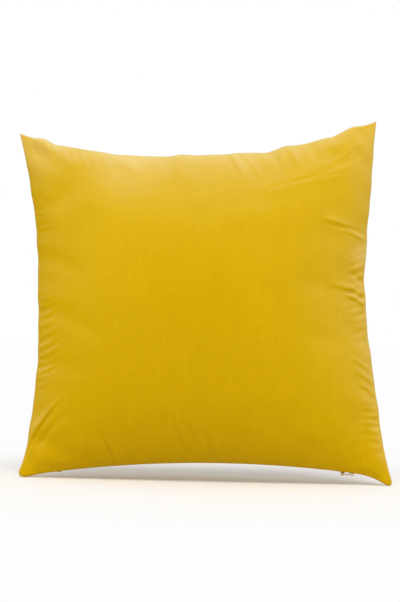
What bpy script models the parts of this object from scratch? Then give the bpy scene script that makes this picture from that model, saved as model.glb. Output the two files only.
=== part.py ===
"""Throw pillow: a knife-edge square velvet cover, zipped along its bottom seam, over a stuffed insert.

The pillow stands upright on its two bottom corners. +X is to the right, -Y is the front and +Z is up. The
origin is the middle of the bounding box, on the floor. All sizes are in metres.
"""

import math

import bmesh
import bpy
from mathutils import Matrix, Vector

# Filled pillow: overall box, then how far each corner falls short of it
COVER_WIDTH = 0.4552
COVER_HEIGHT = 0.4368
COVER_DEPTH = 0.155
TOP_LEFT_DROP = 0.0248
TOP_RIGHT_INSET = 0.0279
BOTTOM_LEFT_INSET = 0.0099

# How far each edge pulls in at its middle, and how square that pull is (2 is a parabola)
LEFT_SAG = 0.0225
RIGHT_SAG = 0.0212
TOP_SAG = 0.0338
BOTTOM_SAG = 0.0222
SAG_POWER = 2.4
RIGHT_SAG_POWER = 1.5

# Cross-section of the filled form
CROWN_POWER = 0.6
CROWN_FLAT = 1.035
SEAM_ROLL_WIDTH = 0.006

# Panel grid: cells along a side, and how strongly they crowd towards the seams
PANEL_CELLS = 18
EDGE_CROWDING = 0.85
SEAM_ROW = 0.0001

# Cloth, thread and the room between neighbours
COVER_CLOTH = 0.0010
INSERT_CLOTH = 0.0005
SEAM_GAP = 0.00015
LAYER_GAP = 0.0005
PART_GAP = 0.0003
ALLOWANCE_WIDTH = 0.010
OVERLOCK_RADIUS = 0.0006
OVERLOCK_CORNER_GAP = 0.003
OVERLOCK_POINTS = 25

# Insert and its filling
INSERT_CLEARANCE = 0.002
INSERT_ROLL = 0.002
FILL_INSET = 0.0035
FILL_ROLL = 0.0015
MIRROR_MERGE = 0.00005
INSERT_THREAD_RADIUS = 0.0004
INSERT_THREAD_POINTS = 17
CLOSING_GAP_WIDTH = 0.110
CLOSING_THREAD_RADIUS = 0.0005

# Zip: the stretch of bottom seam that holds it is an arc, whose crest is a little right of the seam's middle
ZIP_SEAM_RADIUS = 1.42
ZIP_SEAM_CREST_SHIFT = 0.025
ZIP_LENGTH = 0.340
TAPE_WIDTH = 0.0100
TAPE_THICKNESS = 0.0005
TAPE_OVERHANG = 0.008
COIL_WIDTH = 0.0021
COIL_HEIGHT = 0.0026
COIL_DEPTH = 0.0034
COIL_GAP = 0.0005
ZIP_STATIONS = 16
STOP_LENGTH = 0.0025
TACK_LENGTH = 0.006
TACK_HEIGHT = 0.0026
TACK_HALF_THICKNESS = 0.0004
STITCH_RADIUS = 0.00018

# Slider and pull tab
SLIDER_LENGTH = 0.0100
SLIDER_PLATE = 0.0012
SLIDER_CORNER = 0.0004
NECK_LENGTH = 0.0050
NECK_THICKNESS = 0.0007
FOOT_LENGTH = 0.0056
FOOT_THICKNESS = 0.0008
FOOT_TAPER = 0.0002
FOOT_GAP = 0.0005
BRIDGE_WIDTH = 0.0016
BRIDGE_EYE_RADIUS = 0.0010
BRIDGE_WIRE = 0.0010
EYE_POINTS = 9
PIVOT_BELOW_FOOT = 0.0012
PULL_LENGTH = 0.0140
PULL_WIDTH = 0.0050
PULL_NECK_WIDTH = 0.0042
PULL_THICKNESS = 0.0009
PULL_END_POINTS = 13
PULL_SLOT_GAP = 0.0005

# Care labels: size, then where each sits on the front panel and how far under its surface
LABEL_WIDTH = 0.018
LABEL_HEIGHT = 0.034
LABEL_THICKNESS = 0.0004
COVER_LABEL_PLACE = (-0.935, -0.30)
COVER_LABEL_DEPTH = 0.0028
INSERT_LABEL_PLACE = (0.925, 0.28)
INSERT_LABEL_DEPTH = 0.0062

# Values that follow from the ones above
HALF_WIDTH = COVER_WIDTH / 2
HALF_HEIGHT = COVER_HEIGHT / 2
CROWN = COVER_DEPTH / 2
INSERT_CROWN = CROWN - COVER_CLOTH - LAYER_GAP
FILL_CROWN = INSERT_CROWN - INSERT_CLOTH - LAYER_GAP
ZIP_EDGE_GAP = COVER_CLOTH + PART_GAP
INSERT_SEAM_GAP = INSERT_CLOTH + SEAM_GAP
COIL_OUTER = COIL_GAP + COIL_WIDTH
COIL_TOP = COIL_DEPTH + COIL_HEIGHT
TAPE_INNER = COIL_OUTER + PART_GAP
TAPE_OUTER = TAPE_INNER + TAPE_THICKNESS
COVER_ROLL = TAPE_OUTER + COVER_CLOTH
TAPE_BOTTOM = COIL_DEPTH + PART_GAP
TAPE_TOP = TAPE_BOTTOM + TAPE_WIDTH
SEAM_FITTINGS = max(ALLOWANCE_WIDTH + PART_GAP + 2 * OVERLOCK_RADIUS, TAPE_TOP)
INSERT_INSET = SEAM_FITTINGS + 2 * INSERT_THREAD_RADIUS + INSERT_CLEARANCE
ZIP_HALF = ZIP_LENGTH / 2
SLIDER_END = ZIP_HALF - SLIDER_LENGTH / 2 - PART_GAP
FOOT_TOP = -FOOT_GAP
FOOT_BOTTOM = FOOT_TOP - FOOT_THICKNESS
PIVOT_DEPTH = FOOT_BOTTOM - PIVOT_BELOW_FOOT

BOTTOM_LEFT = Vector((-HALF_WIDTH + BOTTOM_LEFT_INSET, 0.0))
BOTTOM_RIGHT = Vector((HALF_WIDTH, 0.0))
TOP_LEFT = Vector((-HALF_WIDTH, COVER_HEIGHT - TOP_LEFT_DROP))
TOP_RIGHT = Vector((HALF_WIDTH - TOP_RIGHT_INSET, COVER_HEIGHT))
BOTTOM_MIDDLE_X = (BOTTOM_LEFT.x + BOTTOM_RIGHT.x) / 2
BOTTOM_HALF = (BOTTOM_RIGHT.x - BOTTOM_LEFT.x) / 2
ZIP_ARC_CENTRE = Vector((BOTTOM_MIDDLE_X + ZIP_SEAM_CREST_SHIFT, 0, BOTTOM_SAG - ZIP_SEAM_RADIUS))

# Colours are linear
MUSTARD_VELVET = (0.66, 0.40, 0.012)
MUSTARD_THREAD = (0.60, 0.36, 0.02)
MUSTARD_TAPE = (0.55, 0.33, 0.02)
MUSTARD_ENAMEL = (0.50, 0.30, 0.02)
NYLON = (0.52, 0.32, 0.03)
TICKING = (0.82, 0.80, 0.75)
FIBRE = (0.90, 0.90, 0.88)
LABEL_SATIN = (0.88, 0.87, 0.84)


def clear_scene():
    """Remove every object that the file opened with."""
    for obj in list(bpy.data.objects):
        bpy.data.objects.remove(obj, do_unlink=True)


def new_collection(name):
    """Add a collection to the scene."""
    made = bpy.data.collections.new(name)
    bpy.context.scene.collection.children.link(made)
    return made


def finish(obj, colour, roughness, metallic=0.0):
    """Give a piece its own Principled material."""
    material = bpy.data.materials.new(obj.name + "_finish")
    material.use_nodes = True
    shader = material.node_tree.nodes["Principled BSDF"]
    shader.inputs["Base Color"].default_value = (*colour, 1.0)
    shader.inputs["Roughness"].default_value = roughness
    shader.inputs["Metallic"].default_value = metallic
    obj.data.materials.append(material)
    return obj


def piece_from(bm, name, home):
    """Turn a bmesh into a named object."""
    mesh = bpy.data.meshes.new(name)
    bm.to_mesh(mesh)
    bm.free()
    obj = bpy.data.objects.new(name, mesh)
    home.objects.link(obj)
    return obj


# Form of the pillow


def pull_in(t, sag, power):
    """How far an edge is pulled in at t, from -1 at one corner to 1 at the other."""
    return sag * (1 - abs(t) ** power)


def zip_arc_drop(x):
    """How far the zip's arc has fallen from its crest, at x from the bottom seam's middle."""
    from_crest = x - ZIP_SEAM_CREST_SHIFT
    return ZIP_SEAM_RADIUS - math.sqrt(ZIP_SEAM_RADIUS**2 - from_crest**2)


def bottom_edge(t):
    """The bottom seam: the zip's arc, then a quicker fall to each corner."""
    x = t * BOTTOM_HALF
    arc_end = min(ZIP_HALF + TACK_LENGTH + 2 * STOP_LENGTH, BOTTOM_HALF - ALLOWANCE_WIDTH)
    past = max(0.0, abs(x) - arc_end) / (BOTTOM_HALF - arc_end)
    corner_fall = BOTTOM_SAG - zip_arc_drop(math.copysign(BOTTOM_HALF, x))
    return Vector((BOTTOM_MIDDLE_X + x, BOTTOM_SAG - zip_arc_drop(x) - corner_fall * past**2))


def top_edge(t):
    """The top seam."""
    return TOP_LEFT.lerp(TOP_RIGHT, (t + 1) / 2) - Vector((0, pull_in(t, TOP_SAG, SAG_POWER)))


def left_edge(t):
    """The left seam, from bottom to top."""
    return BOTTOM_LEFT.lerp(TOP_LEFT, (t + 1) / 2) + Vector((pull_in(t, LEFT_SAG, SAG_POWER), 0))


def right_edge(t):
    """The right seam, from bottom to top."""
    drawn_in = pull_in(t, RIGHT_SAG, RIGHT_SAG_POWER)
    return BOTTOM_RIGHT.lerp(TOP_RIGHT, (t + 1) / 2) - Vector((drawn_in, 0))


def planform(u, v):
    """The point (x, z) of the outline's filled patch at (u, v), each from -1 to 1."""
    a = (u + 1) / 2
    b = (v + 1) / 2
    across = left_edge(v) * (1 - a) + right_edge(v) * a
    along = bottom_edge(u) * (1 - b) + top_edge(u) * b
    low = BOTTOM_LEFT.lerp(BOTTOM_RIGHT, a)
    high = TOP_LEFT.lerp(TOP_RIGHT, a)
    return across + along - low.lerp(high, b)


def inset_share(inset):
    """The share of u and of v at which a ring lies this far inside the seam."""
    return 1 - inset / HALF_WIDTH, 1 - inset / HALF_HEIGHT


def ring_point(u, v, inset):
    """The point (x, z) of the ring that lies this far inside the seam."""
    across, along = inset_share(inset)
    return planform(u * across, v * along)


def crowned_height(u, v, crown, roll, gap):
    """Distance of a layer's outer face from the seam plane."""
    fullness = max(0.0, (1 - u * u) * (1 - v * v)) ** CROWN_POWER
    fullness = min(1.0, CROWN_FLAT * fullness)
    to_seam = min((1 - abs(u)) * HALF_WIDTH, (1 - abs(v)) * HALF_HEIGHT)
    rolled = min(1.0, to_seam / SEAM_ROLL_WIDTH)
    return gap + roll * rolled + (crown - gap - roll) * fullness


def on_bottom_seam(v):
    """Whether a row of the grid is the bottom seam."""
    return v < SEAM_ROW - 1


def cover_gap(u, v):
    """Half of the slit between the two cover panels: closed at sewn edges, open along the zip."""
    if not on_bottom_seam(v):
        return SEAM_GAP
    from_corner = min(1.0, (1 - abs(u)) * HALF_WIDTH / SEAM_ROLL_WIDTH)
    return SEAM_GAP + (ZIP_EDGE_GAP - SEAM_GAP) * from_corner


def crowd(t):
    """Move a grid line towards the nearer seam."""
    return EDGE_CROWDING * math.sin(math.pi * t / 2) + (1 - EDGE_CROWDING) * t


def cover_point(u, v, side):
    """A point of a cover panel's outer face. side is -1 for the front and 1 for the back."""
    flat = planform(u, v)
    height = crowned_height(u, v, CROWN, COVER_ROLL, cover_gap(u, v))
    return Vector((flat.x, side * height, flat.y))


def layer_grid(side, inset, crown, roll, gap_at):
    """An open, crowned grid over the outline. Its vertices keep their (u, v) in two layers."""
    bm = bmesh.new()
    u_layer = bm.verts.layers.float.new("u")
    v_layer = bm.verts.layers.float.new("v")
    bmesh.ops.create_grid(bm, x_segments=PANEL_CELLS, y_segments=PANEL_CELLS, size=1)
    for vert in bm.verts:
        u = crowd(vert.co.x)
        v = crowd(vert.co.y)
        vert[u_layer] = u
        vert[v_layer] = v
        flat = ring_point(u, v, inset)
        vert.co = Vector((flat.x, side * crowned_height(u, v, crown, roll, gap_at(u, v)), flat.y))
    if side > 0:
        bmesh.ops.reverse_faces(bm, faces=bm.faces)
    split_corners(bm)
    return bm


def split_corners(bm):
    """Crease each corner cell from the corner inwards, so that the corner keeps its thickness."""
    for corner in [vert for vert in bm.verts if len(vert.link_faces) == 1]:
        cell = corner.link_faces[0]
        inner = next(vert for vert in cell.verts if not vert.is_boundary)
        bmesh.utils.face_split(cell, corner, inner)


def add_allowances(bm, side):
    """Turn the sewn edges in: a flange on the left, top and right, lying in the seam plane."""
    u_layer = bm.verts.layers.float["u"]
    v_layer = bm.verts.layers.float["v"]
    seams = [edge for edge in bm.edges if edge.is_boundary]
    sewn = [edge for edge in seams if not all(on_bottom_seam(vert[v_layer]) for vert in edge.verts)]
    extruded = bmesh.ops.extrude_edge_only(bm, edges=sewn)
    for vert in [item for item in extruded["geom"] if isinstance(item, bmesh.types.BMVert)]:
        flat = ring_point(vert[u_layer], vert[v_layer], ALLOWANCE_WIDTH)
        vert.co = Vector((flat.x, side * SEAM_GAP, flat.y))


def thicken(obj, thickness):
    """Give an open cloth surface its thickness, inwards."""
    shell = obj.modifiers.new("Cloth", "SOLIDIFY")
    shell.thickness = thickness
    shell.offset = -1
    shell.use_even_offset = True
    shell.use_quality_normals = True
    return obj


def smooth(obj):
    """Shade a soft piece smooth."""
    obj.data.shade_smooth()
    return obj


# Cover


def make_cover_panel(home, name, side):
    """One velvet panel with its allowances turned in."""
    bm = layer_grid(side, 0.0, CROWN, COVER_ROLL, cover_gap)
    add_allowances(bm, side)
    panel = smooth(thicken(piece_from(bm, name, home), COVER_CLOTH))
    return finish(panel, MUSTARD_VELVET, 0.9)


def make_thread(home, name, points, radius, colour):
    """A thread: a thin capped tube through the points."""
    curve = bpy.data.curves.new(name, "CURVE")
    curve.dimensions = "3D"
    curve.bevel_depth = radius
    curve.bevel_resolution = 1
    curve.use_fill_caps = True
    spline = curve.splines.new("POLY")
    spline.points.add(len(points) - 1)
    for target, point in zip(spline.points, points):
        target.co = (*point, 1.0)
    obj = bpy.data.objects.new(name, curve)
    home.objects.link(obj)
    return finish(obj, colour, 0.8)


def steps(start, end, count):
    """Evenly spaced values from start to end."""
    return [start + (end - start) * i / (count - 1) for i in range(count)]


def make_overlocks(home):
    """The overlock thread along the raw edges of each sewn side."""
    inset = ALLOWANCE_WIDTH + PART_GAP + OVERLOCK_RADIUS
    end = 1 - OVERLOCK_CORNER_GAP / HALF_WIDTH
    sides = {
        "cover_overlock_left": lambda t: (-1, t),
        "cover_overlock_top": lambda t: (t, 1),
        "cover_overlock_right": lambda t: (1, t),
    }
    for name, place in sides.items():
        route = [ring_point(*place(t), inset) for t in steps(-end, end, OVERLOCK_POINTS)]
        points = [Vector((p.x, 0, p.y)) for p in route]
        make_thread(home, name, points, OVERLOCK_RADIUS, MUSTARD_THREAD)


def make_label(home, name, place, depth):
    """A blank folded satin label, lying under the front panel beside a side seam."""
    step = 0.01
    u, v = place
    here = cover_point(u, v, -1)
    across = (cover_point(u + step, v, -1) - here).normalized()
    along = (cover_point(u, v + step, -1) - here).normalized()
    outward = along.cross(across).normalized()
    if outward.y > 0:
        outward = -outward
    across = along.cross(outward).normalized()
    bm = bmesh.new()
    bmesh.ops.create_cube(bm, size=1)
    bmesh.ops.scale(bm, vec=(LABEL_WIDTH, LABEL_HEIGHT, LABEL_THICKNESS), verts=bm.verts)
    label = piece_from(bm, name, home)
    turn = Matrix((across, along, across.cross(along))).transposed().to_4x4()
    label.matrix_world = Matrix.Translation(here - outward * depth) @ turn
    return finish(label, LABEL_SATIN, 0.5)


# Zip, made straight as (along the seam, across it, depth inside it) and then bent to the seam's arc


def seam_turn(along):
    """How far the seam has turned about +Y from its crest, at a distance along it from the zip's middle."""
    return (along - ZIP_SEAM_CREST_SHIFT) / ZIP_SEAM_RADIUS


def seam_point(along, across, depth):
    """A point given along the seam's arc, across it, and inwards from it."""
    turn = seam_turn(along)
    reach = ZIP_SEAM_RADIUS + depth
    return ZIP_ARC_CENTRE + Vector((reach * math.sin(turn), across, reach * math.cos(turn)))


def make_seam_bar(home, name, along, across, depth, colour, roughness, stations=1):
    """A bar of rectangular section that follows the seam. Each size is a (low, high) pair."""
    bm = bmesh.new()
    bmesh.ops.create_cube(bm, size=1)
    if stations > 1:
        long_edges = [e for e in bm.edges if abs(e.verts[0].co.x - e.verts[1].co.x) > 0.5]
        bmesh.ops.subdivide_edges(bm, edges=long_edges, cuts=stations - 1, use_grid_fill=False)
    for vert in bm.verts:
        place = [
            low + (high - low) * (c + 0.5)
            for (low, high), c in zip((along, across, depth), vert.co)
        ]
        vert.co = seam_point(*place)
    return finish(piece_from(bm, name, home), colour, roughness)


def sided(low, high, side):
    """A (low, high) pair on the front or the back of the seam plane."""
    return tuple(sorted((side * low, side * high)))


def make_zip_half(home, label, side):
    """One side of the zip: tape, coil, top stop and the stitching that holds the tape."""
    tape_half = ZIP_HALF + TAPE_OVERHANG
    make_seam_bar(home, "zipper_tape_" + label, (-tape_half, tape_half),
                  sided(TAPE_INNER, TAPE_OUTER, side), (TAPE_BOTTOM, TAPE_TOP), MUSTARD_TAPE, 0.8,
                  ZIP_STATIONS)
    make_seam_bar(home, "zipper_coil_" + label, (-ZIP_HALF, ZIP_HALF),
                  sided(COIL_GAP, COIL_OUTER, side), (COIL_DEPTH, COIL_TOP), NYLON, 0.4, ZIP_STATIONS)
    stop_start = ZIP_HALF + PART_GAP
    make_seam_bar(home, "zipper_top_stop_" + label, (stop_start, stop_start + STOP_LENGTH),
                  sided(COIL_GAP, COIL_OUTER, side), (COIL_DEPTH, COIL_TOP), MUSTARD_ENAMEL, 0.35)
    across = side * (TAPE_OUTER + PART_GAP + STITCH_RADIUS)
    depth = (COIL_TOP + TAPE_TOP) / 2
    points = [seam_point(s, across, depth) for s in steps(-ZIP_HALF, ZIP_HALF, ZIP_STATIONS)]
    make_thread(home, "zipper_stitching_" + label, points, STITCH_RADIUS, MUSTARD_THREAD)


def make_zip_ends(home):
    """The box stop at the closed end of the zip, and a bar tack past each end of it."""
    stop_start = -ZIP_HALF - PART_GAP
    make_seam_bar(home, "zipper_bottom_stop", (stop_start - STOP_LENGTH, stop_start),
                  (-COIL_OUTER, COIL_OUTER), (COIL_DEPTH, COIL_TOP), MUSTARD_ENAMEL, 0.35)
    tack_start = ZIP_HALF + STOP_LENGTH + 2 * PART_GAP
    thickness = (-TACK_HALF_THICKNESS, TACK_HALF_THICKNESS)
    for label, side in (("left", -1), ("right", 1)):
        along = sided(tack_start, tack_start + TACK_LENGTH, side)
        make_seam_bar(home, "cover_seam_tack_" + label, along, thickness, (PART_GAP, TACK_HEIGHT),
                      MUSTARD_THREAD, 0.8)


def box(home, name, size, centre):
    """A plain box, as a mesh of its own."""
    bm = bmesh.new()
    bmesh.ops.create_cube(bm, size=1)
    bmesh.ops.scale(bm, vec=size, verts=bm.verts)
    bmesh.ops.translate(bm, vec=centre, verts=bm.verts)
    return piece_from(bm, name, home)


def arc_points(centre, radius, start, end, count):
    """Points of an arc in degrees, in the plane of a flat outline."""
    turns = [math.radians(a) for a in steps(start, end, count)]
    return [(centre[0] + radius * math.cos(a), centre[1] + radius * math.sin(a)) for a in turns]


def flat_piece(home, name, outlines, thickness):
    """A flat plate in the XY plane from closed outlines, the later ones being holes, as a mesh."""
    curve = bpy.data.curves.new(name, "CURVE")
    curve.dimensions = "2D"
    curve.fill_mode = "BOTH"
    curve.extrude = thickness / 2
    for outline in outlines:
        spline = curve.splines.new("POLY")
        spline.points.add(len(outline) - 1)
        for target, (x, y) in zip(spline.points, outline):
            target.co = (x, y, 0, 1)
        spline.use_cyclic_u = True
    guide = bpy.data.objects.new(name + "_outline", curve)
    home.objects.link(guide)
    mesh = bpy.data.meshes.new_from_object(guide.evaluated_get(bpy.context.evaluated_depsgraph_get()))
    bpy.data.objects.remove(guide)
    bm = bmesh.new()
    bm.from_mesh(mesh)
    bmesh.ops.remove_doubles(bm, verts=bm.verts, dist=0.000001)
    bpy.data.meshes.remove(mesh)
    return piece_from(bm, name, home)


def union(target, other):
    """Join another closed piece to this one."""
    joint = target.modifiers.new("Join " + other.name, "BOOLEAN")
    joint.operation = "UNION"
    joint.solver = "EXACT"
    joint.object = other
    other.hide_render = True
    other.display_type = "WIRE"


def make_bridge(cutters):
    """The foot under the seam and the eye below it that holds the pull tab, from the side."""
    outer = BRIDGE_EYE_RADIUS + BRIDGE_WIRE
    foot_half = FOOT_LENGTH / 2
    tip = FOOT_BOTTOM + FOOT_TAPER
    outline = [(foot_half, tip), (foot_half, FOOT_TOP), (-foot_half, FOOT_TOP), (-foot_half, tip),
               (-outer, FOOT_BOTTOM)]
    outline += arc_points((0, PIVOT_DEPTH), outer, 180, 360, EYE_POINTS)
    outline += [(outer, FOOT_BOTTOM)]
    eye_top = FOOT_BOTTOM - FOOT_TAPER
    eye = [(-BRIDGE_EYE_RADIUS, eye_top)]
    eye += arc_points((0, PIVOT_DEPTH), BRIDGE_EYE_RADIUS, 180, 360, EYE_POINTS)
    eye += [(BRIDGE_EYE_RADIUS, eye_top)]
    bridge = flat_piece(cutters, "slider_bridge", [outline, eye], BRIDGE_WIDTH)
    bridge.data.transform(Matrix.Rotation(math.radians(90), 4, "X"))
    return bridge


def make_slider(parts, cutters, axis):
    """The slider: a plate over the coils, a neck through the slit and the bridge outside."""
    plate_bottom = COIL_TOP + PART_GAP
    plate = box(parts, "zipper_slider_body", (SLIDER_LENGTH, 2 * COIL_OUTER - PART_GAP, SLIDER_PLATE),
                (0, 0, plate_bottom + SLIDER_PLATE / 2))
    neck_top = plate_bottom + SLIDER_PLATE / 2
    neck_bottom = (FOOT_TOP + FOOT_BOTTOM) / 2
    neck = box(cutters, "slider_neck", (NECK_LENGTH, NECK_THICKNESS, neck_top - neck_bottom),
               (0, 0, (neck_top + neck_bottom) / 2))
    corners = plate.modifiers.new("Rounded corners", "BEVEL")
    corners.width = SLIDER_CORNER
    corners.segments = 2
    union(plate, neck)
    union(plate, make_bridge(cutters))
    for piece in (plate, neck, bpy.data.objects["slider_bridge"]):
        piece.parent = axis
        piece.location = (0, 0, ZIP_SEAM_RADIUS)
    return finish(plate, MUSTARD_ENAMEL, 0.35, 0.6)


def make_pull(parts, slider):
    """The pull tab: a flat drop with a slot at its narrow end, whose end bar turns in the slider's eye."""
    bar = PULL_THICKNESS / 2
    slot_end = BRIDGE_EYE_RADIUS + BRIDGE_WIRE + PULL_SLOT_GAP
    slot_half = BRIDGE_WIDTH / 2 + PART_GAP
    neck_half = PULL_NECK_WIDTH / 2
    round_centre = PULL_LENGTH - PULL_WIDTH / 2
    outline = [(-bar, -neck_half), (slot_end + bar, -neck_half)]
    outline += arc_points((round_centre, 0), PULL_WIDTH / 2, -90, 90, PULL_END_POINTS)
    outline += [(slot_end + bar, neck_half), (-bar, neck_half)]
    slot = [(bar, -slot_half), (slot_end, -slot_half), (slot_end, slot_half), (bar, slot_half)]
    pull = flat_piece(parts, "zipper_pull_tab", [outline, slot], PULL_THICKNESS)
    pull.parent = slider
    pull.location = (0, 0, PIVOT_DEPTH)
    return finish(pull, MUSTARD_ENAMEL, 0.35, 0.6)


def make_zip(parts, cutters):
    """The whole concealed zip, closed."""
    make_zip_half(parts, "front", -1)
    make_zip_half(parts, "back", 1)
    make_zip_ends(parts)
    axis = bpy.data.objects.new("zipper_travel_axis", None)
    parts.objects.link(axis)
    axis.location = ZIP_ARC_CENTRE
    axis.rotation_euler = (0, seam_turn(SLIDER_END), 0)
    slider = make_slider(parts, cutters, axis)
    make_pull(parts, slider)


# Insert


def make_insert_panel(home, name, side):
    """One ticking panel of the insert's case."""
    bm = layer_grid(side, INSERT_INSET, INSERT_CROWN, INSERT_ROLL, lambda u, v: INSERT_SEAM_GAP)
    panel = smooth(thicken(piece_from(bm, name, home), INSERT_CLOTH))
    return finish(panel, TICKING, 0.85)


def make_insert_threads(home):
    """The insert's sewn edge, and the stitch that closes the gap it was stuffed through."""
    inset = INSERT_INSET - PART_GAP - INSERT_THREAD_RADIUS
    gap_share = CLOSING_GAP_WIDTH / 2 / BOTTOM_HALF
    around = [(t, -1) for t in steps(gap_share, 1, INSERT_THREAD_POINTS // 2)]
    around += [(1, t) for t in steps(-1, 1, INSERT_THREAD_POINTS)[1:]]
    around += [(t, 1) for t in steps(1, -1, INSERT_THREAD_POINTS)[1:]]
    around += [(-1, t) for t in steps(1, -1, INSERT_THREAD_POINTS)[1:]]
    around += [(t, -1) for t in steps(-1, -gap_share, INSERT_THREAD_POINTS // 2)[1:]]
    flat = [ring_point(u, v, inset) for u, v in around]
    points = [Vector((p.x, 0, p.y)) for p in flat]
    make_thread(home, "insert_seam_thread", points, INSERT_THREAD_RADIUS, TICKING)
    inset = INSERT_INSET - PART_GAP - CLOSING_THREAD_RADIUS
    room = (PART_GAP + CLOSING_THREAD_RADIUS) / BOTTOM_HALF
    end = gap_share - room
    flat = [ring_point(t, -1, inset) for t in steps(-end, end, INSERT_THREAD_POINTS // 2)]
    points = [Vector((p.x, 0, p.y)) for p in flat]
    make_thread(home, "insert_closing_stitch", points, CLOSING_THREAD_RADIUS, TICKING)


def make_filling(home):
    """The polyester fibre: one crowned half, mirrored at the seam plane."""
    bm = layer_grid(-1, INSERT_INSET + FILL_INSET, FILL_CROWN, FILL_ROLL, lambda u, v: 0.0)
    filling = smooth(piece_from(bm, "insert_fibre_fill", home))
    halves = filling.modifiers.new("Back half", "MIRROR")
    halves.use_axis = (False, True, False)
    halves.merge_threshold = MIRROR_MERGE
    return finish(filling, FIBRE, 1.0)


def main():
    """Build the pillow."""
    clear_scene()
    parts = new_collection("throw_pillow")
    cutters = new_collection("cutters")
    make_cover_panel(parts, "cover_front_panel", -1)
    make_cover_panel(parts, "cover_back_panel", 1)
    make_overlocks(parts)
    make_label(parts, "cover_care_label", COVER_LABEL_PLACE, COVER_LABEL_DEPTH)
    make_zip(parts, cutters)
    make_insert_panel(parts, "insert_front_panel", -1)
    make_insert_panel(parts, "insert_back_panel", 1)
    make_insert_threads(parts)
    make_filling(parts)
    make_label(parts, "insert_care_label", INSERT_LABEL_PLACE, INSERT_LABEL_DEPTH)


main()
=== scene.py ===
"""Looks of the throw pillow: velvet cover, zip, sewing threads, labels, ticking insert and fibre filling.

Everything is in metres in the frame of the CAD part: +X to the right, -Y to the front, +Z up.
"""

import math

import bmesh
import bpy
import numpy as np
from mathutils import Euler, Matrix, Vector


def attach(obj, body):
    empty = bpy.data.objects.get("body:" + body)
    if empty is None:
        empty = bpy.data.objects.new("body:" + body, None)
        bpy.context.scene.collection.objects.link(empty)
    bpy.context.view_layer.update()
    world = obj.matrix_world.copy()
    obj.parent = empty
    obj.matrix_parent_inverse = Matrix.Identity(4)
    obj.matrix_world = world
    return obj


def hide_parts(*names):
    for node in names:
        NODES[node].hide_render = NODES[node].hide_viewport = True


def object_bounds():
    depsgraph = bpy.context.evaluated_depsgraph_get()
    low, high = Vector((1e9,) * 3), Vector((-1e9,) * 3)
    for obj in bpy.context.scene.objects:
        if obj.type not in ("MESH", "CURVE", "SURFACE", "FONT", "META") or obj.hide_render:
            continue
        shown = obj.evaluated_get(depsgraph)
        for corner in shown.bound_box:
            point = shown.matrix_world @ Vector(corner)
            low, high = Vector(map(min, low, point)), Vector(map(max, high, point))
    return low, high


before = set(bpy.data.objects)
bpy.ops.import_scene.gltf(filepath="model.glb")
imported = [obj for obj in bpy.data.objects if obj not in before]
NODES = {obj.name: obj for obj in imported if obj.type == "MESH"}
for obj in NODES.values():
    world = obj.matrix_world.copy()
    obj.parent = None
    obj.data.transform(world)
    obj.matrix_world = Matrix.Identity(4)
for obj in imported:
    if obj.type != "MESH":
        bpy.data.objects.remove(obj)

CAD_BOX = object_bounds()

# Filled pillow: the CAD box gives its size, then how far each corner falls short of that box
COVER_WIDTH = CAD_BOX[1].x - CAD_BOX[0].x
COVER_HEIGHT = CAD_BOX[1].z - CAD_BOX[0].z
COVER_DEPTH = CAD_BOX[1].y - CAD_BOX[0].y
HALF_WIDTH = COVER_WIDTH / 2
HALF_HEIGHT = COVER_HEIGHT / 2
CROWN = COVER_DEPTH / 2
TOP_LEFT_DROP = 0.0248
TOP_RIGHT_INSET = 0.0279
BOTTOM_LEFT_INSET = 0.0099
LEFT_SAG = 0.0225
RIGHT_SAG = 0.0212
TOP_SAG = 0.0338
BOTTOM_SAG = 0.0222
SAG_POWER = 2.4
RIGHT_SAG_POWER = 1.5
CORNER_BLUNTING = 0.22
CORNER_LIFTS = (0.0019, 0.0006)
CORNER_REACH = 0.028
SEAM_WANDER = 0.00045
CROWN_POWER = 0.58

# Local swellings of the top and right edges: place along the edge from -1 to 1, width, height
TOP_SWELLINGS = (
    (-0.87, 0.040, 0.0026),
    (-0.80, 0.022, -0.0012),
    (-0.10, 0.050, 0.0012),
    (0.385, 0.045, -0.0024),
    (0.49, 0.035, 0.0017),
    (0.755, 0.025, -0.0009),
    (0.87, 0.060, 0.0044),
)
RIGHT_SWELLINGS = (
    (0.16, 0.09, -0.0022),
    (0.62, 0.12, 0.0020),
)

# Steepness of the cover that folds still grow with, and the strip beside a seam that they fade in over
MOST_STEEPNESS = 3.5
FOLDS_CLEAR_OF_SEAM = 0.004

# Zip: its stretch of the bottom seam is an arc
ZIP_SEAM_RADIUS = 1.42
ZIP_SEAM_CREST_SHIFT = 0.025
ZIP_HALF = 0.170
ZIP_RUN = ZIP_HALF + 0.011
ZIP_LIP = 0.0006

# Cover cloth
COVER_CLOTH = 0.0010
FOLD_CLOTH = 0.0005
SEAM_GAP = 0.00015
SEAM_FOLD_RADIUS = 0.0011
ALLOWANCE_WIDTH = 0.010
HEM_WIDTH = 0.0125
HEM_CLEAR_OF_TAPE = 0.0037
LIP_END = 0.0012
LIP_FLARE = 0.0002
FLARE_START = 0.0030
INSIDE_START = 0.0034

# Insert and filling: how far inside the cover's seam and how deep under its face each lies
INSERT_INSET = 0.0165
INSERT_DEPTH = 0.0016
INSERT_CLOTH = 0.0004
INSERT_SHORT_OF_CROWN = 0.004
INSERT_GATHERS = 0.0007
FILL_INSET = 0.0035
FILL_DEPTH = 0.0009
FILL_SHORT_OF_CROWN = 0.006
FILL_TUFTS = 0.0009

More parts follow.
